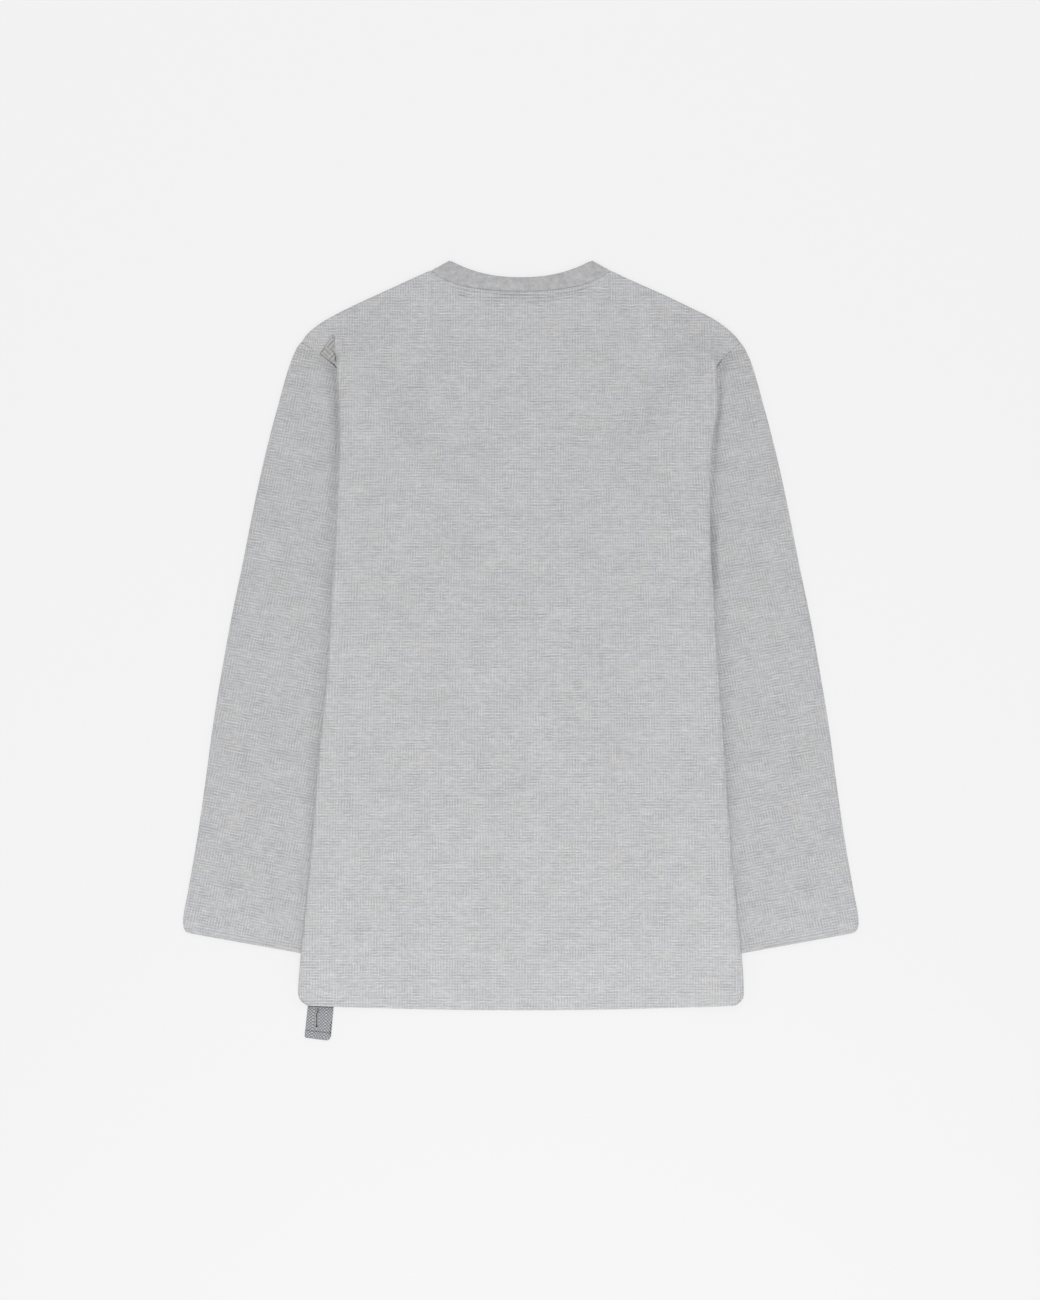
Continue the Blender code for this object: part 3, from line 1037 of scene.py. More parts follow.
@dataclass(frozen=True)
class Heather:
    """Grey yarn spun from light and dark fibres, which shows as streaks along each course."""

    cool: Colour
    warm: Colour
    course: float  # height of one course
    long_streak: float = 30.0
    short_streak: float = 6.0
    long_contrast: float = 0.055
    short_contrast: float = 0.095
    fibre_contrast: float = 0.10
    patch_contrast: float = 0.02
    patch_size: float = 62.0
    course_shift: float = 7.31  # from one course's streaks to the next one's, in the noise
    fibre_scale: float = 2600.0  # of the noise that draws the fibres
    fibre_stretch: float = 0.3
    tint_scale: float = 45.0
    tint_span: Place = (0.35, 0.65)  # the noise over which the tint turns from cool to warm

    def colour(self, shader: Shader, across: Socket, down: Socket) -> Socket:
        """Lays out the yarn's colour.

        Args:
            shader: The material.
            across: Place along the courses, in metres.
            down: Place down the cloth, in metres.

        Returns:
            The colour.
        """
        row = shader.sum("FLOOR", shader.sum("DIVIDE", down, self.course * MM))
        shift = shader.times(row, self.course_shift)

        def streaks(length: float, seed: float) -> Socket:
            """Noise drawn out along the courses, new on each of them."""
            run = shader.sum("DIVIDE", across, length * MM)
            return shader.noise(shader.vector(shader.sum("ADD", run, shift), shift, seed))

        place = shader.vector(across, down, 0.0)
        drawn_out = shader.vector(shader.times(across, self.fibre_stretch), down, 0.0)
        fibres = shader.noise(drawn_out, self.fibre_scale)
        factor = shader.times(
            shader.vary(streaks(self.long_streak, 3.0), self.long_contrast),
            shader.vary(streaks(self.short_streak, 11.0), self.short_contrast),
            shader.vary(fibres, self.fibre_contrast),
            shader.vary(shader.noise(place, 1.0 / (self.patch_size * MM), 2.0), self.patch_contrast),
        )
        tint = shader.remap(shader.noise(place, self.tint_scale, 2.0), *self.tint_span, 0.0, 1.0)
        return shader.shade(shader.blend(tint, self.cool, self.warm), factor)


@dataclass(frozen=True)
class WaffleKnit:
    """Thermal knit with a raised grid round small square hollows."""

    name: str = "waffle_knit"
    yarn: Heather = Heather((0.4335, 0.4365, 0.4505), (0.4425, 0.4425, 0.4475), 1.6)
    cell: float = 2.8
    depth: float = 0.5
    # how much darker the hollows' colour is painted, as painted shade
    hollow_shade: float = 0.58
    mean_rib: float = 0.443
    rib_power: float = 1.4
    wander: float = 1.3  # how far the ribs stray, as an angle
    wander_scale: float = 90.0  # of the noise that leads them
    wander_span: Place = (0.2, 0.8)
    fullness: Place = (0.6, 1.0)  # how deep the hollows are, and how much painted shade they get, from one patch to another
    fullness_scale: float = 60.0
    fullness_span: Place = (0.4, 0.6)
    along_strength: Place = (0.85, 0.35)  # the same for how strong the ribs along the cloth are
    across_strength: Place = (0.32, 1.0)  # and for those across it
    favour_scale: float = 80.0
    favour_span: Place = (0.42, 0.58)  # the noise over which one way's ribs give over to the other's
    stitch: float = 0.79
    stitch_depth: float = 0.06

    def material(self) -> Material:
        """Makes the material.

        Returns:
            The material.
        """
        shader = Shader(self.name)
        across, down, place = shader.cloth()
        straying = shader.noise(place, self.wander_scale)
        wander = shader.remap(straying, *self.wander_span, -self.wander, self.wander)
        patches = shader.noise(place, self.fullness_scale, 2.0)
        hollow = usual = shader.remap(patches, *self.fullness_span, *self.fullness)
        favour = shader.noise(place, self.favour_scale)
        for way, strengths in ((across, self.along_strength), (down, self.across_strength)):
            strength = shader.remap(favour, *self.favour_span, *strengths)
            wave = shader.wave(shader.sum("ADD", shader.turns(way, self.cell), wander), "COSINE")
            rib = shader.sum("POWER", wave, self.rib_power)
            hollow = shader.times(hollow, shader.rest(shader.times(strength, rib)))
            usual = shader.times(usual, shader.rest(shader.times(strength, self.mean_rib)))
        # Painted shade: the colour is darkened in the hollows, round an unchanged mean.
        shade = shader.times(shader.sum("SUBTRACT", usual, hollow), 1.0 - self.hollow_shade)
        colour = shader.shade(self.yarn.colour(shader, across, down), shader.sum("ADD", shade, 1.0))
        lean = shader.sum("SINE", shader.turns(down, self.yarn.course))
        loops = shader.sum("SINE", shader.sum("ADD", shader.turns(across, self.stitch), lean))
        grid = shader.bump(shader.rest(hollow), self.depth)
        normal = shader.bump(shader.sum("ABSOLUTE", loops), self.stitch_depth, Normal=grid)
        return shader.finish(colour, matt(0.92, 0.12), Normal=normal)


@dataclass(frozen=True)
class PlainKnit:
    """Fine plain knit, as on the neckband."""

    yarn: Heather = Heather(
        (0.412, 0.414, 0.424), (0.422, 0.420, 0.423),
        0.9,
        long_streak=9.0,
        short_streak=3.0,
        long_contrast=0.03,
        short_contrast=0.09,
        fibre_contrast=0.07,
        patch_contrast=0.13,
        patch_size=6.5,
    )
    stitch: float = 1.1
    lean: float = 2.0  # how far the courses bend over the stitches' legs, as an angle
    loop_height: float = 0.5
    depth: float = 0.12

    def material(self) -> Material:
        """Makes the material.

        Returns:
            The material.
        """
        shader = Shader("neckband_knit")
        around, across, _ = shader.cloth()
        legs = shader.sum("ABSOLUTE", shader.sum("SINE", shader.turns(around, self.stitch)))
        course = shader.turns(across, self.yarn.course)
        loops = shader.sum("SINE", shader.sum("ADD", course, shader.times(legs, self.lean)))
        height = shader.sum("ADD", legs, shader.times(loops, self.loop_height))
        colour = self.yarn.colour(shader, around, across)
        return shader.finish(colour, matt(0.92, 0.12), Normal=shader.bump(height, self.depth))


@dataclass(frozen=True)
class HerringboneTape:
    """Twill tape, whose lines turn back at each stripe."""

    dark: Colour = (0.15, 0.152, 0.165)
    light: Colour = (0.53, 0.532, 0.558)
    stripe: float = 6.4
    line: float = 3.0
    crossing: float = 0.12  # how much of a line is left where the others cross it
    grain: Place = (0.7, 1.15)
    grain_scale: float = 900.0
    depth: float = 0.16

    def material(self) -> Material:
        """Makes the material.

        Returns:
            The material.
        """
        shader = Shader("twill_tape")
        across, down, place = shader.cloth()
        zigzag = shader.sum("PINGPONG", across, self.stripe * MM)
        twill, threads = (
            shader.wave(shader.turns(shader.sum(operation, down, zigzag), self.line))
            for operation in ("ADD", "SUBTRACT")
        )
        height = shader.times(twill, shader.remap(threads, 0.0, 1.0, self.crossing, 1.0))
        grain = shader.remap(shader.noise(place, self.grain_scale, 2.0), *NOISE_SPAN, *self.grain)
        colour = shader.blend(shader.times(height, grain), self.dark, self.light)
        return shader.finish(colour, matt(0.85, 0.1), Normal=shader.bump(height, self.depth))


@dataclass(frozen=True)
class Thread:
    """Twisted sewing thread."""

    name: str
    colour: Colour
    twist: float = 0.5
    depth: float = 0.05
    shade: float = 0.6  # how light its colour is painted between its plies, as painted shade

    def material(self) -> Material:
        """Makes the material.

        Returns:
            The material.
        """
        shader = Shader(self.name)
        across, down, _ = shader.cloth()
        ply = shader.wave(shader.turns(shader.sum("ADD", across, down), self.twist))
        colour = shader.blend(ply, tuple(self.shade * part for part in self.colour), self.colour)
        return shader.finish(colour, matt(0.6, 0.0), Normal=shader.bump(ply, self.depth))


@dataclass(frozen=True)
class PaleFloor:
    """The plain surface that the top lies on, evenly lit, with a very faint unevenness."""

    colour: Colour = (0.12, 0.12, 0.12)
    unevenness: float = 0.004
    scale: float = 8.0
    glow: float = 0.75

    def material(self) -> Material:
        """Makes the material.

        Returns:
            The material.
        """
        shader = Shader("pale_floor")
        grain = shader.noise(shader.add("TexCoord", output="Object"), self.scale, 2.0)
        lighter = tuple(part * (1.0 + self.unevenness) for part in self.colour)
        numbers = {"Roughness": 0.9, "Specular IOR Level": 0.0}
        light = {"Emission Color": (1.0, 1.0, 1.0, 1.0), "Emission Strength": self.glow}
        return shader.finish(shader.blend(grain, self.colour, lighter), numbers | light)


# The garment's pieces


class Held(Enum):
    """What keeps a sheet of cloth in its shape."""

    LAID = "laid"
    FOLDED = "folded"


@dataclass(kw_only=True)
class Sheet:
    """A sheet of cloth that stands for a CAD node."""

    name: str
    node: str
    flat_size: Place
    flat_area: float | None = None
    slot: Slot = Slot.WAFFLE
    held: Held = Held.FOLDED
    rests_on: tuple[str, ...] = ("floor",)

    def shell(self) -> Shell:
        """Shapes its wall."""
        raise NotImplementedError

    def details(self, material: Material) -> list[Piece]:
        """Makes the small pieces that belong to it, out of its own material or another."""
        return []

    def build(self, material: Material, *others: Piece) -> Piece:
        """Makes the sheet.

        Args:
            material: What it is made of.
            others: Pieces that belong to it and are made already. Not used.

        Returns:
            The piece.
        """
        piece = dress(self.shell().build(self.name, material), self.slot, self.node)
        list(self.details(material))
        return piece


@dataclass(kw_only=True)
class Panel(Sheet):
    """The back or the front of the body, with the sides that it has tucked under."""

    line: Neckline
    creases: tuple[Crease, ...]
    slackness: Slackness
    hem_short: float = 0.0  # how much shorter it is than the back
    row_pitch: float = 3.6
    fine_pitch: float = 2.0
    fine_to: float = 118.0
    edge_hold: float = 30.0  # how far in from its ends the creases are held down
    seam_hold: float = 25.0  # the same from the armholes
    hem_freedom: float = 0.35  # how much of them is left at the hem
    tuck_fade: float = 5.0  # columns over which they die out before the tuck
    seam_ridge: float = 1.0
    ridge_slopes: Place = (1.6, 7.0)  # lengths of its upper and lower slope
    grooves: Table = (  # how far below the seam, depth, and the length and start of its waves
        (3.9, 1.7, 17, 0.4), (7, 1.4, 13, 2.2), (10.2, 1.5, 21, 4.6),
    )
    groove_width: float = 0.6
    groove_change: float = 0.32  # how much a groove's depth changes along it
    second_wave: float = 0.37  # the length of that change's second wave, in the groove's own
    groove_sway: float = 0.5
    sway_wave: float = 1.3  # the length of its sway's wave, in the same
    ridge_end: float = 78.0  # how far out the ridge and its grooves end
    ridge_fade: float = 20.0
    closed_at: float = 0.03  # how far off the surface a closed edge's two faces meet

    def columns_out(self, side: Side, index: int, neck: Array) -> Array:
        """Places a section's columns between its tuck and the centre line.

        Args:
            side: Which side.
            index: Which section.
            neck: The panel's edge along the neck.

        Returns:
            How far out each column is, from the tuck inwards.
        """
        drop, axis = BODY_DROPS[index], side.axis(index)
        tuck = float(side.seam(drop)) if index >= TUCK.first_tucked else axis - TUCK.open_width
        spread = float(ease(index / (len(side.armhole) - 1.0)))
        foot = mix(neck[-1, 0], tuck - TUCK.slope, spread)
        count = len(neck) - 1
        over_tuck = mix(tuck, axis, np.linspace(1.0, 0.0, TUCK.flap_columns, endpoint=False))
        slope = mix(foot, tuck, np.linspace(1.0, 0.0, TUCK.slope_columns, endpoint=False))
        order = np.arange(count, 0, -1)
        middle = mix(neck[order, 0], foot * order / count, spread)
        return np.concatenate([over_tuck, slope, middle])

    def half(self, side: Side, neck: Array) -> Array:
        """Lays out the sections of one side, from its seam to just before the centre line.

        Args:
            side: Which side.
            neck: The panel's edge along the neck.

        Returns:
            Sections, columns and x, drop, height.
        """
        tops = OUTLINE.shoulder(self.columns_out(side, 0, neck), side.sag)
        tops[1 - len(neck) :] = neck[:0:-1, 1]
        hems = OUTLINE.hem(self.columns_out(side, len(BODY_DROPS) - 1, neck)) - self.hem_short
        made = []
        for index, share in enumerate(BODY_SHARES):
            turned = side.turned_edge(index) - np.array([0.0, self.hem_short * share, 0.0])
            outs, drops = self.columns_out(side, index, neck), mix(tops, hems, share)
            flat = raised_to(np.stack([outs, drops], axis=1), STACK.between + side.lift(outs, drops))
            made.append(np.concatenate([turned, flat]))
        return np.array(made) * np.array([side.sign, 1.0, 1.0])

    def sections(self) -> tuple[Array, Array]:
        """Lays out the surface half way between the two panels, without creases.

        Returns:
            The grid of x, drop and height, and the nominal drop of each of its rows.
        """
        neck = NECK.panel_edge(self.line)
        hem = float(OUTLINE.hem(0.0)) - self.hem_short
        middle = np.stack(np.broadcast_arrays(0.0, mix(neck[0, 1], hem, BODY_SHARES), STACK.between), axis=1)
        coarse = [self.half(LEFT, neck), middle[:, None], self.half(RIGHT, neck)[:, ::-1]]
        first, last = BODY_DROPS[0], BODY_DROPS[-1]
        top = first + stations(self.fine_to - first, self.fine_pitch, NECK_FINE, False)
        bottom = last - stations(last - self.fine_to, self.row_pitch, RIM_FINE, False)[::-1]
        rows = np.concatenate([top, bottom[1:]])
        grid = smooth_through(BODY_DROPS, np.concatenate(coarse, axis=1), rows)
        sunk = 1.0 - POCKET.fullness * POCKET.share(grid[..., 0], grid[..., 1])
        grid[..., 2] = mix(STACK.between, grid[..., 2], sunk)
        return grid, rows

    def relief(self, grid: Array, rows: Array) -> Array:
        """Creases the panel.

        Args:
            grid: Its surface.
            rows: The nominal drop of each row.

        Returns:
            How far each point is raised.
        """
        x, drop, below_top = grid[..., 0], grid[..., 1], along(grid, 0)
        from_seams = np.minimum(along(grid, 1), along(grid[:, ::-1], 1)[:, ::-1])
        at_seams = np.where(rows[:, None] < LEFT.underarm[0], ease(from_seams / self.seam_hold), 1.0)
        at_hem = mix(self.hem_freedom, 1.0, ease((below_top[-1] - below_top) / self.edge_hold))
        columns = np.arange(grid.shape[1])
        on_top = ease((np.minimum(columns, columns[::-1]) - len(TUCK.turned)) / self.tuck_fade)
        held = ease(below_top / self.edge_hold) * at_seams * at_hem * on_top
        raised = raised_by(self.creases, x, drop) + self.slackness.relief(x, drop)
        return raised * held + self.neck_ridge(grid)

    def neck_ridge(self, grid: Array) -> Array:
        """Lays the back over the allowance of the neck seam, with uneven grooves that follow the seam.

        Args:
            grid: The panel's surface.

        Returns:
            How far each point is raised.
        """
        if self.line is Neckline.FRONT:
            return np.zeros(grid.shape[:2])
        x, below = grid[:1, :, 0], along(grid, 0)
        upper, lower = self.ridge_slopes
        raised = self.seam_ridge * ease(below / upper) * (1.0 - ease((below - self.grooves[-1][0]) / lower))
        for place, depth, wave, start in self.grooves:
            change = np.sin(x / wave + start) * np.sin(x / (self.second_wave * wave) + 2.0 * start)
            strength = 1.0 - self.groove_change + self.groove_change * change
            line = place + self.groove_sway * np.sin(x / (self.sway_wave * wave) - start)
            raised = raised - depth * strength * np.exp(-(((below - line) / self.groove_width) ** 2))
        return raised * ease((self.ridge_end - np.abs(x)) / self.ridge_fade) * (np.abs(x) <= NECK.half)

    def shell(self) -> Shell:
        """Gives the surface its wall, with each edge rounded as it is finished.

        Returns:
            The shell.
        """
        grid, rows = self.sections()
        flat = grid.copy()
        grid[..., 2] += self.relief(grid, rows)
        steps = unit(np.diff(grid[..., (0, 2)], axis=1))
        tangent = unit(np.pad(steps, ((0, 0), (0, 1), (0, 0))) + np.pad(steps, ((0, 0), (1, 0), (0, 0))))
        sideways = np.stack([-tangent[..., 1], np.zeros(grid.shape[:2]), tangent[..., 0]], axis=-1)
        near = np.full(grid.shape[:2], STACK.gap / 2)
        far = near + STACK.wall
        down, across = along(flat, 0), along(flat, 1)
        on_neck = np.abs(flat[:1, :, 0]) <= NECK.half
        at_armhole = (rows < LEFT.underarm[0])[:, None]
        for distance, first, other, where in (
            (down, NECK_RIM, CLOSED_RIM, on_neck),
            (down[-1] - down, HEM_RIM, HEM_RIM, on_neck),
            (across, SEWN_RIM, CLOSED_RIM, at_armhole),
            (across[:, -1:] - across, SEWN_RIM, CLOSED_RIM, at_armhole),
        ):
            full = np.where(where, first.fullness(distance), other.fullness(distance))
            inward = np.where(where, first.closes_inward, other.closes_inward)
            meet = np.where(inward, self.closed_at, (near + far) / 2)
            near, far = mix(meet, near, full), mix(meet, far, full)
        facing = 1 if self.line is Neckline.BACK else -1
        outer, inner = (grid + sideways * (away * facing)[..., None] for away in (far, near))
        centre = grid.shape[1] // 2
        places = np.stack([across - across[:, centre : centre + 1], flat[..., 1]], axis=-1)
        return Shell(outer, inner, POCKET.turn_weave(places, POCKET.share(flat[..., 0], flat[..., 1])))


@dataclass(frozen=True)
class SeamAllowance:
    """The cloth turned in along a seam, pressed flat between the layers."""

    name: str
    path: Array  # x and drop along the seam
    height: float | Array  # all along the seam, or at each point of the path
    width: float = 10.0
    wall: float = 0.13
    columns: int = 9

    def build(self, material: Material, slot: Slot) -> Piece:
        """Makes the strip.

        Args:
            material: What it is made of.
            slot: That material's slot in the record.

        Returns:
            The piece.
        """
        run = unit(np.gradient(self.path, axis=0))
        side = np.stack([-run[:, 1], run[:, 0]], axis=1)
        across = np.linspace(-self.width / 2, self.width / 2, self.columns)
        flat = self.path[:, None] + side[:, None] * across[:, None]
        grid = raised_to(flat, np.reshape(self.height, (-1, 1)))
        shell = Shell.walled(grid, tapered(grid, self.wall), crossed(across, along(self.path, 0)))
        return dress(shell.build(self.name, material), slot)


@dataclass(frozen=True)
class CaughtFold:
    """The small fold of cloth, askew and stretched, at the pocket's bottom, in knit with painted shade."""

    name: str = "left_armhole_fold"
    inner: tuple[Place, Place] = ((185.8, 77.6), (185.4, 105.2))  # out and drop of its upper and lower corner
    outer: tuple[Place, Place] = ((190.4, 77.6), (200.4, 93.9))
    height: float = 3.95
    puff: float = 0.5
    wall: float = 0.5
    cells: int = 20

    def build(self, material: Material) -> Piece:
        """Makes the fold.

        Args:
            material: Its knit.

        Returns:
            The piece.
        """
        share = stations(1.0, 1.0 / self.cells)
        mirror = np.array([POCKET.side.sign, 1.0])
        inner, outer = (mix(*np.array(ends) * mirror, share[:, None]) for ends in (self.inner, self.outer))
        flat = mix(inner[:, None], outer[:, None], share[None, :, None])
        swell = np.sin(math.pi * share)
        grid = raised_to(flat, self.height + self.puff * np.outer(swell, swell))
        places = POCKET.turn_weave(flat, np.ones(grid.shape[:2]))
        shell = Shell.walled(grid, tapered(grid, self.wall), places)
        return dress(shell.build(self.name, material), Slot.WAFFLE)


# Lines across a sleeve: drop of the outer end, and its distance out
SLEEVE_ROWS: Table = (
    (82, 219.4), (85, 222.6), (90, 225.2), (102, 230.3), (142, 242), (195, 255.8), (250, 267.8),
    (305, 278.6), (360, 290), (415, 299.8), (470, 308.7), (525, 316), (580, 324), (630, 332.6), (664, 338),
    (671.5, 335.5), (673.4, 331.5),
)


@dataclass(kw_only=True)
class Sleeve(Sheet):
    """A sleeve: a tube of knit that lies flat, with its inner edge under the body."""

    side: Side
    creases: tuple[Crease, ...]
    slackness: Slackness
    flat_size: Place = (300.0, 620.0)
    held: Held = Held.LAID
    rows: Table = SLEEVE_ROWS
    bows: tuple[float, ...] = (1.0, 0.96, 0.9, 0.7, 0.35, 0.1)  # each line's share of the armhole's curve
    pocket_gap: float = 0.25
    seam_gap: float = 0.03
    open_stations: int = 5
    pocket_stations: tuple[int, ...] = (3, 4, 5)
    row_pitch: float = 3.5
    top_columns: int = 44
    outer_columns: int = 28
    inner_columns: int = 14
    beside: tuple[float, ...] = (7.0, 5.4, 4.1, 3.0, 2.1, 1.4, 0.8, 0.4, 0.1, -0.2, -0.5, -1.0, -1.7, -2.6)
    least_inner: float = 4.0  # how near the middle of those closer columns comes to the inner edge
    fold_columns: int = 8
    hugs: Table = (  # drop, and how fully the cloth rises against the body's edge
        (100, 0.4), (150, 0.5), (190, 0.65), (260, 0.65), (560, 0.55), (650, 0.9), (700, 0.9),
    )
    hug_from: float = 98.0
    hug_to: float = 120.0
    fillet: float = 2.0
    clearance: float = 0.25
    inner_hold: float = 3.0  # how far from its inner edge it isn't free to rise there
    puff: float = 1.1
    puff_rim: Rim = Rim(22.0)
    seam_hold: float = 14.0  # how far down from the armhole the creases are held down
    edge_hold: float = 6.0  # the same from the sleeve's folded edge and from the body's
    hold_start: float = 0.5  # how far under the body's edge that starts
    cuff_hold: float = 25.0  # and from the cuff
    cuff_freedom: float = 0.3
    seam_shown: float = 0.5  # the share of the open seam down to which its allowance fills it
    seam_fade: float = 0.25
    seam_rise: float = 0.45
    strip_width: float = 3.0
    strip_points: int = 24

    def outlines(self) -> Array:
        """Lays out lines across the sleeve.

        Returns:
            Lines of out and drop, each from the sleeve's outer edge to its inner one.
        """
        armhole = np.array(self.side.armhole)[:, ::-1]
        knots = along(armhole, 0)
        knots /= knots[-1]
        shares = np.linspace(0.0, 1.0, self.top_columns)
        curve = smooth_through(knots, armhole, shares)
        gaps = [self.pocket_gap if k in self.pocket_stations else self.seam_gap for k in range(len(armhole))]
        chord = unit(armhole[-1] - armhole[0])
        away = np.array([chord[1], -chord[0]]) * smooth_through(knots, gaps, shares)[:, None]
        rows = np.array(self.rows)[:, None]
        cuff = np.array([self.side.cuff_inner, self.side.cuff_inner_drop])
        inner = mix(armhole[-1], cuff, (rows[..., :1] - rows[0, 0, 0]) / (rows[-1, 0, 0] - rows[0, 0, 0]))
        bows = np.pad(self.bows, (0, len(rows) - len(self.bows)))[:, None, None]
        bowed = bows * (curve - mix(armhole[0], armhole[-1], shares[:, None]))
        lines = mix(rows[..., ::-1], inner, shares[:, None]) + bowed
        lines[0] += away
        return lines

    def loops(self) -> tuple[Array, Array]:
        """Bends those lines into flat tubes.

        Returns:
            Rows of points round the tube as x, drop and height, and the outward direction at each.
        """
        lines = self.outlines()
        first, last = unit(lines[:, 0] - lines[:, 1]), unit(lines[:, -1] - lines[:, -2])
        lines[:, 0] -= first * STACK.fold_reach
        lines[:, -1] -= last * STACK.fold_reach
        inner, inner_ways = fold_over(lines[:, -1], last, self.fold_columns)
        outer, outer_ways = fold_over(lines[:, 0], first, self.fold_columns)
        top, bottom = raised_to(lines, STACK.high), raised_to(lines[:, ::-1], STACK.low)
        up = np.broadcast_to(UP, top.shape)
        mirror = np.array([self.side.sign, 1.0, 1.0])
        loops = np.concatenate([top, inner, bottom, outer[:, ::-1]], axis=1)
        return loops * mirror, np.concatenate([up, inner_ways, -up, outer_ways[:, ::-1]], axis=1) * mirror

    def relief(self, grid: Array) -> Array:
        """Creases the sleeve's upper layer where nothing lies on it.

        Args:
            grid: The tube's points.

        Returns:
            How far each point is raised.
        """
        columns = self.upper_columns
        upper, below = grid[:, :columns], along(grid, 0)[:, :columns]
        x, drop, from_outer = upper[..., 0], upper[..., 1], along(upper, 1)
        beside = np.abs(x) - self.side.fold(drop)
        at_cuff = mix(self.cuff_freedom, 1.0, ease((below[-1] - below) / self.cuff_hold))
        held = ease((beside + self.hold_start) / self.edge_hold) * ease(below / self.seam_hold) * at_cuff
        creased = raised_by(self.creases, x, drop) + self.slackness.relief(x, drop)
        rounded = self.puff * self.puff_rim.fullness(from_outer)
        raised = (creased * ease(from_outer / self.edge_hold) + rounded) * held
        hugging = ease((drop - self.hug_from) / (self.hug_to - self.hug_from))
        at_inner = ease((from_outer[:, -1:] - from_outer) / self.inner_hold)
        raised += self.against_body(beside, drop) * at_inner * hugging
        return np.pad(raised, ((0, 0), (0, grid.shape[1] - columns)))

    def against_body(self, beside: Array, drop: Array) -> Array:
        """Raises the cloth where it meets the body's folded edge, as far as it can go under the fold.

        Args:
            beside: How far out from the body's edge.
            drop: How far down.

        Returns:
            How far each point is raised.
        """
        reach, top = self.side.reach(drop), 2.0 * STACK.wall + STACK.gap + self.clearance
        middle = STACK.between + self.side.lift(self.side.fold(drop) - reach, drop) - self.side.bend(drop)
        chord = np.clip(reach + np.minimum(beside, 0.0), 0.0, reach)
        under = middle - np.sqrt(reach**2 - chord**2) - top
        free = read(self.hugs, drop) * (middle - top) * np.exp(-np.maximum(beside, 0.0) / self.fillet)
        return np.maximum(np.minimum(free, under), 0.0)

    @property
    def upper_columns(self) -> int:
        """How many columns the upper layer has."""
        return self.outer_columns + len(self.beside) + self.inner_columns

    def refine(self, grid: Array) -> Array:
        """Moves the upper layer's columns close together beside the body's edge.

        Args:
            grid: The tube's points, with even columns.

        Returns:
            The same with refined columns.
        """
        even = np.linspace(0.0, 1.0, self.top_columns)
        made = []
        for row in grid:
            upper = row[: self.top_columns]
            beside = np.abs(upper[:, 0]) - self.side.fold(upper[:, 1])
            width = float(along(upper, 0)[-1])
            edge = min(float(np.interp(0.0, beside[::-1], even[::-1])), 1.0 - self.least_inner / width)
            fine = edge - np.array(self.beside) / width
            outer = np.linspace(0.0, fine[0], self.outer_columns, endpoint=False)
            inner = np.linspace(fine[-1], 1.0, self.inner_columns + 1)[1:]
            at = np.concatenate([outer, fine, inner])
            placed = np.stack([np.interp(at, even, column) for column in upper.T], axis=1)
            made.append(np.concatenate([placed, row[self.top_columns :]]))
        return np.array(made)

    def shell(self) -> Shell:
        """Gives the tube its wall.

        Returns:
            The shell.
        """
        loops, ways = self.loops()
        drops = np.array(self.rows)[:, 0]
        rows = drops[0] + stations(drops[-1] - drops[0], self.row_pitch, RIM_FINE)
        grid, ways = self.refine(smooth_through(drops, loops, rows)), smooth_through(drops, ways, rows)
        extra = np.broadcast_to(ways[:, :1], (len(ways), self.upper_columns - self.top_columns, 3))
        flat = grid.copy()
        grid[..., 2] += self.relief(grid)
        down = along(flat, 0)
        half = STACK.wall / 2 * SEWN_RIM.fullness(down) * HEM_RIM.fullness(down[-1] - down)
        ways = unit(np.concatenate([extra, ways], axis=1))
        return Shell.walled(grid, half, self.on_flat_cloth(flat), ways, looped=True)

    def on_flat_cloth(self, grid: Array) -> Array:
        """Unrolls the tube, with its courses square to the sleeve.

        Args:
            grid: The tube's points.

        Returns:
            Places on the flat cloth, with one more column than the tube.
        """
        outer = np.array(self.rows)[[0, -2]][:, ::-1]
        inner = np.array([self.side.underarm[::-1], (self.side.cuff_inner, self.side.cuff_inner_drop)])
        run = unit((outer[1] - outer[0]) + (inner[1] - inner[0])) * np.array([self.side.sign, 1.0])
        across = np.array([-run[1], run[0]]) * self.side.sign
        closed = closed_up(grid)
        around = closed[..., :2] @ across
        steps = np.stack([np.diff(around, axis=1), np.diff(closed[..., 2], axis=1)], axis=-1)
        around[:, 1:] = around[:, :1] + np.cumsum(np.linalg.norm(steps, axis=-1), axis=1)
        return np.stack([around, closed[..., :2] @ run], axis=-1)

    def details(self, material: Material) -> list[Piece]:
        """Makes the allowance that fills the open upper part of the armhole seam.

        Args:
            material: Its knit.

        Returns:
            The piece, in a list.
        """
        seam = np.array(self.side.armhole)[: self.open_stations, ::-1] * np.array([self.side.sign, 1.0])
        path = spread_evenly(seam, self.strip_points)[2:]
        run = along(path, 0)
        sinking = ease((run / run[-1] - self.seam_shown) / self.seam_fade)
        height = mix(STACK.high + self.seam_rise, STACK.between, sinking)
        strip = SeamAllowance(self.name + "_seam", path, height, width=self.strip_width)
        return [strip.build(material, self.slot)]


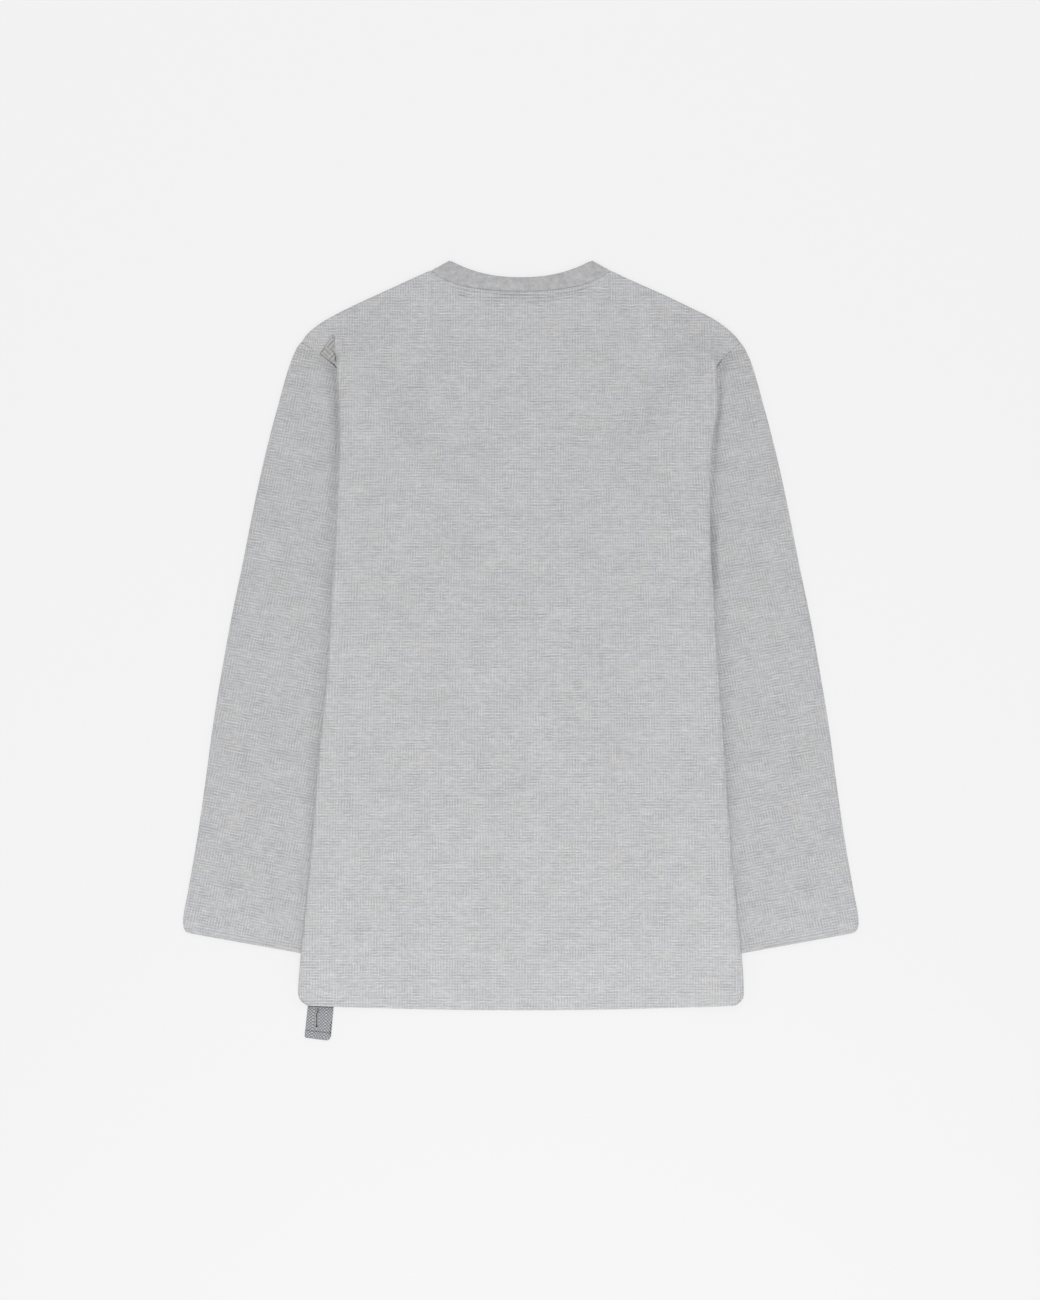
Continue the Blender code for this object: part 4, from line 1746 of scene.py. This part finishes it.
@dataclass(kw_only=True)
class Neckband(Sheet):
    """A strip of plain knit joined to a ring, folded at the two neck points."""

    name: str = "neckband_strip"
    node: str = "neckband"
    flat_size: Place = (460.0, 18.0)
    slot: Slot = Slot.BAND
    rests_on: tuple[str, ...] = ("front_cloth",)
    fold_columns: int = 8
    puff: float = 0.35
    pitch: float = 1.6
    rim_fine: tuple[float, ...] = (0.1, 0.35, 0.8)
    allowance_lift: float = 0.09

    def loops(self, across: Array) -> tuple[Array, Array]:
        """Lays out loops round the band.

        Args:
            across: Shares of the band's width, from its open edge to its seam.

        Returns:
            Rows of points as x, drop and height, and the outward direction at each.
        """
        back, front = NECK.seam(Neckline.BACK, 0.0), NECK.seam(Neckline.FRONT, 0.0)
        edge_end, seam_end, _, outward = NECK.fold()
        shares = np.linspace(0.0, 1.0, len(back))
        angle = shares * math.pi / 2.0
        fall = NECK.band_back_drop * (1.0 - shares**NECK.band_back_power)
        back_edge = np.stack([NECK.band_half * shares, fall], axis=1)
        front_edge = np.stack([NECK.band_half * np.sin(angle), NECK.band_front_drop * np.cos(angle)], axis=1)
        mirror = np.array([-1.0, 1.0, 1.0])
        up = np.broadcast_to(UP, (2 * len(back) - 1, 3))
        loops, ways = [], []
        for share in across:
            end = mix(edge_end, seam_end, share)
            upper, lower = mix(back_edge, back, share), mix(front_edge, front, share)
            upper[-1] = lower[-1] = end
            high, low = raised_to(upper, STACK.high), raised_to(lower, STACK.low)
            fold, way = fold_over(end, outward, self.fold_columns)
            loop = [high[::-1] * mirror, high[1:], fold, low[::-1], low[1:] * mirror, fold[::-1] * mirror]
            loops.append(np.concatenate(loop))
            ways.append(np.concatenate([up, way, -up, way[::-1] * mirror]))
        return np.array(loops), np.array(ways)

    def shell(self) -> Shell:
        """Gives the ring its wall.

        Returns:
            The shell.
        """
        edge, seam = NECK.fold()[:2]
        width = float(np.linalg.norm(seam - edge))
        across = stations(width, self.pitch, self.rim_fine) / width
        loops, ways = self.loops(across)
        down = along(loops, 0)
        half = STACK.wall / 2 * HEM_RIM.fullness(down) * NECK_RIM.fullness(down[-1] - down)
        loops[..., 2] += self.puff * np.sin(math.pi * across)[:, None] * (ways[..., 2] > 0.99)
        places = np.stack(np.broadcast_arrays(along(closed_up(loops), 1)[-1:], closed_up(down)), axis=-1)
        return Shell.walled(loops, half, places, ways, looped=True)

    def details(self, material: Material) -> list[Piece]:
        """Makes the allowances of the two halves of the neck seam.

        Args:
            material: Its knit.

        Returns:
            The pieces.
        """
        made = []
        for line, lift in ((Neckline.BACK, self.allowance_lift), (Neckline.FRONT, -self.allowance_lift)):
            half = NECK.seam(line, 0.0)
            path = np.vstack([half[:0:-1] * np.array([-1.0, 1.0]), half])
            strip = SeamAllowance(f"neck_seam_{line.value}", path, STACK.between + lift)
            made.append(strip.build(material, self.slot))
        return made


@dataclass(frozen=True)
class Stitch:
    """One kind of stitch, which rises from the cloth and goes back into it."""

    rise: float
    radius: float
    pitch: float = 0.0  # from one stitch of a row to the next
    length: float = 0.0
    margins: Place = (0.0, 0.0)  # how far from the cloth's edges a row starts and ends
    sunk: float = 0.12  # how deep its ends go in
    arch: float = 0.6  # the lower, the squarer it stands
    points: int = 7


@dataclass
class Stitching:
    """Many short threads, joined into one mesh."""

    name: str
    sides: int = 6
    side_width: float = 0.2  # on the thread's own map
    points: list[Array] = field(default_factory=list)
    faces: list[list[int]] = field(default_factory=list)
    places: list[Place] = field(default_factory=list)

    def add(self, path: Array, radius: float) -> None:
        """Adds a thread.

        Args:
            path: Its points as x, drop and height.
            radius: Its radius.
        """
        run = unit(np.gradient(path, axis=0))
        side = unit(np.cross(run, UP))
        up = np.cross(side, run)
        angles = np.linspace(0.0, FULL_TURN, self.sides, endpoint=False)
        rings = [path + radius * (side * math.cos(angle) + up * math.sin(angle)) for angle in angles]
        numbers = len(self.places) + np.arange(len(path) * self.sides).reshape(len(path), self.sides)
        after = np.roll(numbers, -1, axis=1)
        walls = np.stack([numbers[:-1], after[:-1], after[1:], numbers[1:]], axis=-1).reshape(-1, 4)
        self.faces += [*walls.tolist(), numbers[0, ::-1].tolist(), numbers[-1].tolist()]
        fars = along(path, 0)
        self.places += [(wall * self.side_width, far) for far in fars for wall in range(self.sides)]
        self.points.append(np.stack(rings, axis=1).reshape(-1, 3))

    def build(self, material: Material) -> Piece:
        """Makes the mesh.

        Args:
            material: The thread.

        Returns:
            The piece, tied to the frame.
        """
        maps = {CLOTH_MAP: np.array(self.places)[np.concatenate(self.faces)] * MM}
        points = OUTLINE.to_metres(np.concatenate(self.points))
        return dress(make_piece(self.name, points, self.faces, maps, material), Slot.TAPE)


# Corners of the tab, as x and drop: both at the top, from the left, then both at the bottom
TAB_CORNERS: Table = ((-213.0, 744.1), (-187.0, 745.2), (-216.6, 777.9), (-190.4, 781.3))
TAB_WIDTH, TAB_LENGTH = (math.dist(TAB_CORNERS[0], TAB_CORNERS[k]) for k in (1, 2))


@dataclass(kw_only=True)
class HemTab(Sheet):
    """A tab of twill tape with a worked buttonhole, sewn under the back hem."""

    thread: Material
    # near-black thread; the stay's painted shade and the hem row's painted shadow are made of it too
    dark: Material
    name: str = "hem_tab_tape"
    node: str = "hem_tab"
    flat_size: Place = (TAB_WIDTH, TAB_LENGTH)
    slot: Slot = Slot.TAPE
    held: Held = Held.LAID
    wall: float = 1.0
    fine: tuple[float, ...] = (0.1, 0.3, 0.5)
    pitch: float = 0.6
    lie: float = 0.08  # the share of its length over which it comes down to the surface
    top_row: float = 2.1
    lift: float = 0.3  # the height of the stay that it lies on
    turn_up: float = 7.5
    turn_slope: float = 3.0
    turn_rise: float = 1.05  # how far the turned end raises it, in walls
    turn_inset: float = 0.995
    turn_pitches: Place = (1.0, 0.8)
    corner_rounds: Place = (2.2, 4.9)
    slit_side: float = 9.8
    slit_start: float = 3.0
    slit_length: float = 19.6
    slit_width: float = 0.8
    slit_way: Table = (  # down, and how far it strays
        (3.2, -0.6), (5.7, 1.7), (8.9, -0.1), (21.3, 1.2), (40, 1.2),
    )
    stray_width: float = 4.0
    keyhole: Place = (21.6, 0.75)  # its middle down the tape, and its radius
    keyhole_width: float = 1.5
    stay_start: float = 3.6
    stay_reach: float = 3.2
    stay_wall: float = 0.22
    stay_columns: int = 11
    stay_rows: int = 25
    worked: Stitch = Stitch(0.3, 0.2, 0.42)
    worked_from: float = 0.5  # where those stitches start and end, beside the slit
    worked_to: float = 1.9
    worked_strays: Place = (0.15, 0.08)  # how far their ends stray, across and down
    seed: int = 11
    bar: Stitch = Stitch(0.35, 0.2, 0.4, 1.8)
    bar_half: float = 2.2
    bar_gap: float = 0.6
    # near-black stitches just below the back hem's edge: the painted shadow under the hem
    hemming_painted_shadow: Stitch = Stitch(0.3, 0.42, 1.9, 1.8, (0.5, 1.0))
    turning: Stitch = Stitch(0.1, 0.2, 2.3, 1.4, (0.7, 1.6))
    fray: Stitch = Stitch(0.25, 0.34)
    fray_end: float = 0.35
    frays: Table = (  # start and end down the right edge, and how far in from it
        (15.8, 17.6, 1), (18.4, 20.9, 1.6), (21.4, 23.4, 1), (24.2, 27.4, 1.8), (27.9, 29.2, 1),
    )

    @property
    def slit_end(self) -> float:
        """Where the slit ends, down the tape."""
        return self.slit_start + self.slit_length

    def surface(self, places: Array) -> Array:
        """Places points on the tape.

        Args:
            places: Distances from its left edge and its top.

        Returns:
            x, drop and height.
        """
        a, b, c, d = np.array(TAB_CORNERS)
        across, down = places[..., 0], places[..., 1]
        share = (down / TAB_LENGTH)[..., None]
        beside = across - self.slit_side
        strays = read(self.slit_way, down) * np.exp(-((beside / self.stray_width) ** 2))
        middle, radius = self.keyhole
        opened = np.sqrt(np.maximum(radius**2 - (down - middle) ** 2, 0.0))
        across = across + strays + np.sign(beside) * opened * np.exp(-np.abs(beside) / self.keyhole_width)
        left, right = (
            radius * (1.0 - np.sqrt(1.0 - np.clip((down - TAB_LENGTH) / radius + 1.0, 0.0, 1.0) ** 2))
            for radius in self.corner_rounds
        )
        across = left + across * (1.0 - (left + right) / TAB_WIDTH)
        place = mix(mix(a, c, share), mix(b, d, share), (across / TAB_WIDTH)[..., None])
        hem = STACK.low + LEFT.lift(-place[..., 0], np.full(place.shape[:2], a[1]))
        on_turn = ease((down - TAB_LENGTH + self.turn_up) / self.turn_slope + 0.5)
        lying = ease(share[..., 0] / self.lie)
        level = self.wall / 2 + self.lift + on_turn * self.wall * self.turn_rise
        return raised_to(place, mix(level, hem, 1.0 - lying))

    def rounded(self, places: Array) -> Array:
        """Half of the tape's thickness at each place of a grid, with its edges rounded off."""
        from_edges = np.concatenate([places - places[0, 0], places[-1, -1] - places], axis=-1)
        return self.wall / 2 * Rim(self.wall / 2).fullness(from_edges.min(axis=-1))

    def cut(self, across: Array, down: Array) -> Array:
        """Finds what the slit cuts out of a grid, and moves the grid's nearest lines to its edges.

        Args:
            across: The grid's places across the tape.
            down: Its places down the tape.

        Returns:
            Whether each of the grid's cells is cut out.
        """
        half = self.slit_width / 2
        inside = []
        for places, start, end in (
            (down, self.slit_start, self.slit_end),
            (across, self.slit_side - half, self.slit_side + half),
        ):
            places[np.abs(places - start).argmin()] = start
            places[np.abs(places - end).argmin()] = end
            middles = (places[1:] + places[:-1]) / 2
            inside.append((middles > start) & (middles < end))
        return np.logical_and.outer(*inside)

    def shell(self) -> Shell:
        """Gives the tape its wall, with the slit cut out.

        Returns:
            The shell.
        """
        across, down = (stations(size, self.pitch, self.fine) for size in (TAB_WIDTH, TAB_LENGTH))
        left_out = self.cut(across, down)
        places = crossed(across, down)
        return Shell.walled(self.surface(places), self.rounded(places), places, left_out=left_out)

    def details(self, material: Material) -> list[Piece]:
        """Makes the tape's turned end, the stay behind the slit and all threads; the stay is painted shade.

        Args:
            material: The tape.

        Returns:
            The pieces.
        """
        sizes = zip((TAB_WIDTH, self.turn_up), self.turn_pitches)
        turned = crossed(*(stations(size, pitch, self.fine) for size, pitch in sizes))
        on_tape = turned * np.array([1.0, self.turn_inset]) + np.array([0.0, TAB_LENGTH - self.turn_up])
        half, weave = self.rounded(turned), turned * np.array([1.0, -1.0])
        end = self.under("hem_tab_turned_end", on_tape, self.wall / 2, half, weave, material)
        stitches = self.stitches()
        across = self.slit_side + np.linspace(-self.stay_reach, self.stay_reach, self.stay_columns)
        down = np.linspace(self.stay_start, self.slit_end + self.stay_reach, self.stay_rows)
        backing = crossed(across, down)
        half = tapered(backing, self.stay_wall)
        # The stay is made of the near-black thread: painted shade seen through the slit.
        stay = self.under("hem_tab_stay_painted_shade", backing, self.lift / 2, half, backing, self.dark)
        return [end, stitches, stay, self.dark_threads()]

    def under(
        self, name: str, places: Array, height: float, half: Array, weave: Array, material: Material
    ) -> Piece:
        """Makes a layer that lies level under the tape.

        Args:
            name: The piece's name.
            places: Its places on the tape.
            height: The height of its middle.
            half: Half of its thickness at each place.
            weave: Its places on its own flat cloth.
            material: What it is made of.

        Returns:
            The piece.
        """
        grid = self.surface(places)
        grid[..., 2] = height
        return dress(Shell.walled(grid, half, weave).build(name, material), self.slot)

    def stitches(self) -> Piece:
        """Works the buttonhole.

        Returns:
            The piece, all stitches joined.
        """
        sewing = Stitching("hem_tab_stitches")
        chance = np.random.default_rng(self.seed)
        stray, shift = self.worked_strays
        for place in np.arange(self.slit_start, self.slit_end, self.worked.pitch):
            for way in (-1.0, 1.0):
                start = self.slit_side + way * self.worked_from
                end = self.slit_side + way * (self.worked_to + chance.uniform(-stray, stray))
                self.sew(sewing, self.worked, (start, place), (end, place + chance.uniform(-shift, shift)))
        bar, half = self.slit_end + self.bar_gap, self.bar.length / 2
        reach, pitch = self.bar_half, self.bar.pitch
        for across in self.slit_side + np.arange(-reach, reach + pitch / 4, pitch):
            self.sew(sewing, self.bar, (across, bar - half), (across, bar + half))
        return sewing.build(self.thread)

    def dark_threads(self) -> Piece:
        """Sews the tape to the hem and its turned end down, and frays its right edge; the hem's row is a
        painted shadow.

        Returns:
            The piece, all threads joined.
        """
        sewing = Stitching("hem_tab_dark_threads")
        # The hem row is drawn in near-black thread as the painted shadow under the back hem.
        for stitch, line in ((self.hemming_painted_shadow, self.top_row), (self.turning, TAB_LENGTH - self.turn_up)):
            for place in np.arange(stitch.margins[0], TAB_WIDTH - stitch.margins[1], stitch.pitch):
                self.sew(sewing, stitch, (place, line), (place + stitch.length, line))
        for start, end, inward in self.frays:
            self.sew(sewing, self.fray, (TAB_WIDTH - inward, start), (TAB_WIDTH - self.fray_end, end))
        return sewing.build(self.dark)

    def sew(self, sewing: Stitching, stitch: Stitch, start: Place, end: Place) -> None:
        """Adds one stitch.

        Args:
            sewing: Where it is added.
            stitch: Its kind.
            start: Across and down on the tape.
            end: The same, where it goes back in.
        """
        share = np.linspace(0.0, 1.0, stitch.points)
        points = self.surface(mix(np.array(start), np.array(end), share[:, None])[None])[0]
        points[:, 2] += self.wall / 2 - stitch.sunk + stitch.rise * np.sin(math.pi * share) ** stitch.arch
        sewing.add(points, stitch.radius)


# The studio


@dataclass
class Softbox:
    """A large soft light that hangs over the table and faces a point on it."""

    name: str
    place: tuple[float, float, float]
    target: tuple[float, float, float]
    size: float
    power: float

    def build(self) -> None:
        """Hangs the light."""
        lamp = bpy.data.lights.new(self.name, "AREA")
        lamp.shape = "DISK"
        lamp.size = self.size
        lamp.energy = self.power
        made = bpy.data.objects.new(self.name, lamp)
        made.location = self.place
        facing = Vector(self.target) - Vector(self.place)
        made.rotation_euler = facing.to_track_quat("-Z", "Y").to_euler()
        bpy.context.scene.collection.objects.link(made)


@dataclass
class Studio:
    """The camera straight above, the floor and the lights. Sizes in the room are in metres."""

    frame_length: float = 1.300
    lens: float = 100.0
    sensor: float = 36.0
    focus_height: float = 0.004
    centre_x: float = -0.0008
    sky: float = 0.72
    floor_size: float = 8.0
    floor_level: float = -0.0001
    lights: tuple[Softbox, ...] = (
        Softbox("key", (-0.1, 1.15, 1.35), (0.0, 0.25, 0.0), 1.0, 4.6),
        Softbox("fill", (0.1, -1.3, 1.35), (0.0, -0.25, 0.0), 1.0, 5.6),
        Softbox("low", (0.0, -1.15, 0.85), (0.0, -0.3, 0.0), 0.7, 5.2),
        Softbox("left", (-3.2, 0.25, 1.8), (0.0, 0.15, 0.0), 1.0, 26.0),
        Softbox("right", (3.2, 0.25, 1.8), (0.0, 0.15, 0.0), 1.0, 26.0),
    )

    def build(self) -> None:
        """Sets everything up."""
        self.camera()
        self.surroundings()
        self.floor()
        for light in self.lights:
            light.build()

    def camera(self) -> None:
        """Hangs the camera straight above, where its view is as long as the frame."""
        camera = bpy.data.cameras.new("camera")
        camera.lens = self.lens
        camera.sensor_width = self.sensor
        made = bpy.data.objects.new("camera", camera)
        distance = self.frame_length * self.lens / self.sensor
        made.location = (self.centre_x, 0.0, self.focus_height + distance)
        bpy.context.scene.collection.objects.link(made)
        bpy.context.scene.camera = made

    def surroundings(self) -> None:
        """Lights the room evenly."""
        world = bpy.data.worlds.new("studio")
        world.use_nodes = True
        sky = world.node_tree.nodes["Background"]
        sky.inputs["Color"].default_value = (1.0, 1.0, 1.0, 1.0)
        sky.inputs["Strength"].default_value = self.sky
        bpy.context.scene.world = world
        bpy.context.scene.view_settings.view_transform = "Standard"

    def floor(self) -> None:
        """Lays the floor."""
        corners = np.array([(-0.5, -0.5, 0.0), (0.5, -0.5, 0.0), (0.5, 0.5, 0.0), (-0.5, 0.5, 0.0)])
        points = corners * self.floor_size + UP * self.floor_level
        make_piece("floor", points, [[0, 1, 2, 3]], {}, PaleFloor().material())


def creases(*rows: tuple[float, ...]) -> tuple[Crease, ...]:
    """Reads creases, each from x and drop of its start, bend and end, its height and its two widths."""
    return tuple(Crease(row[:2], row[2:4], row[4:6], *row[6:]) for row in rows)


BOTH_LAYERS = creases(
    (-96, 250, -60, 330, -78, 430, 1.1, 16, 26),
    (70, 470, 96, 560, 88, 660, 1.2, 20, 30),
    (-40, 560, -22, 640, -46, 720, 0.9, 18, 24),
    (20, 120, 44, 190, 30, 260, 0.8, 20, 26),
)
BACK_CREASES = creases(
    (-172, 118, -150, 150, -120, 196, 0.9, 8, 14),
    (-176, 150, -160, 200, -150, 262, 0.7, 8, 12),
    (182, 118, 150, 150, 118, 186, 0.8, 9, 14),
    (184, 170, 168, 230, 170, 300, 0.6, 8, 12),
    (-190, 420, -168, 480, -176, 560, 0.6, 10, 14),
    (190, 520, 172, 590, 186, 680, 0.6, 10, 14),
    (158, 112, 176, 117, 196, 115, 0.55, 2.6, 4),
    (168, 127, 182, 131, 197, 128, 0.5, 3, 3),
    (150, 140, 174, 146, 196, 143, 0.6, 3.4, 2.6),
    (166, 158, 180, 160, 194, 157, 0.4, 2.6, 3.6),
    (160, 172, 176, 177, 192, 175, 0.45, 3.2, 3.2),
)
LEFT_SLEEVE_CREASES = creases(
    (-206, 80, -203, 150, -208, 268, 5.2, 20, 17),
    (-226, 260, -216, 380, -226, 520, 1.6, 12, 18),
    (-262, 330, -272, 430, -292, 520, 0.9, 12, 16),
    (-250, 540, -272, 610, -262, 670, 0.9, 14, 18),
)
RIGHT_SLEEVE_CREASES = creases(
    (210, 90, 212, 160, 209, 256, 5.2, 17, 20),
    (197.5, 252, 197.5, 295, 201, 338, 3.2, 10, 3.6),
    (226, 300, 222, 420, 232, 540, 1.5, 18, 12),
    (262, 320, 280, 420, 296, 520, 0.9, 16, 12),
    (256, 560, 280, 620, 270, 672, 0.9, 18, 14),
)
LEFT_SLEEVE = Sleeve(
    name="left_sleeve_cloth",
    node="sleeve_left",
    side=LEFT,
    creases=LEFT_SLEEVE_CREASES,
    slackness=Slackness(0.5, seed=3),
    flat_area=0.15,
)
RIGHT_SLEEVE = Sleeve(
    name="right_sleeve_cloth",
    node="sleeve_right",
    side=RIGHT,
    creases=RIGHT_SLEEVE_CREASES,
    slackness=Slackness(0.5, seed=4),
    flat_area=0.14,
    rows=((82.4, 219.8), (86.2, 222.8), (91.2, 225.6), *SLEEVE_ROWS[3:]),
    seam_shown=0.2,
    hugs=(
        (100, 1.6), (125, 1), (160, 0.75), (190, 0.8), (235, 0.6), (262, 0.1), (322, 0.1), (345, 0.5),
        (560, 0.5), (650, 0.9),
    ),
)
FRONT = Panel(
    name="front_cloth",
    node="front_panel",
    line=Neckline.FRONT,
    creases=BOTH_LAYERS,
    slackness=Slackness(0.25, seed=7),
    flat_size=(500.0, 720.0),
    flat_area=0.32,
    rests_on=("floor", "left_sleeve_cloth", "right_sleeve_cloth"),
    hem_short=2.0,
)
BACK = Panel(
    name="back_cloth",
    node="back_panel",
    line=Neckline.BACK,
    creases=BOTH_LAYERS + BACK_CREASES,
    slackness=Slackness(0.55, seed=7),
    flat_size=(500.0, 750.0),
    flat_area=0.34,
    rests_on=("front_cloth", "left_sleeve_cloth", "right_sleeve_cloth"),
)


def main() -> None:
    """Builds the top round the frame."""
    logging.basicConfig(level=logging.INFO, format="%(name)s: %(message)s")
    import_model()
    Studio().build()
    knit = WaffleKnit().material()
    # The sleeves take the body's knit painted about 4 % darker: painted shade, for the light that falls off
    # towards the sides.
    sleeve_yarn_painted_shade = Heather((0.4165, 0.4195, 0.4335), (0.4255, 0.4255, 0.4305), 1.6)
    sleeve_knit_painted_shade = WaffleKnit("sleeve_knit_painted_shade", sleeve_yarn_painted_shade).material()
    # The fold's knit is painted about 20 % darker than the body's, with darker hollows: painted shade of the
    # deep pocket.
    stretched_yarn_painted_shade = Heather((0.345, 0.347, 0.35), (0.355, 0.355, 0.348), 1.5, fibre_contrast=0.08)
    stretched_knit_painted_shade = WaffleKnit("stretched_knit_painted_shade", stretched_yarn_painted_shade, cell=3.5, hollow_shade=0.3).material()
    thread = Thread("tab_thread", (0.46, 0.462, 0.48)).material()
    # Near-black thread; it also makes the stay's painted shade behind the slit and the painted shadow along
    # the back hem.
    dark_thread = Thread("tab_dark_thread", (0.05, 0.05, 0.055)).material()
    LEFT_SLEEVE.build(sleeve_knit_painted_shade, CaughtFold().build(stretched_knit_painted_shade))
    RIGHT_SLEEVE.build(sleeve_knit_painted_shade)
    FRONT.build(knit)
    BACK.build(knit)
    Neckband().build(PlainKnit().material())
    HemTab(thread=thread, dark=dark_thread).build(HerringboneTape().material())


if __name__ == "__main__":
    main()
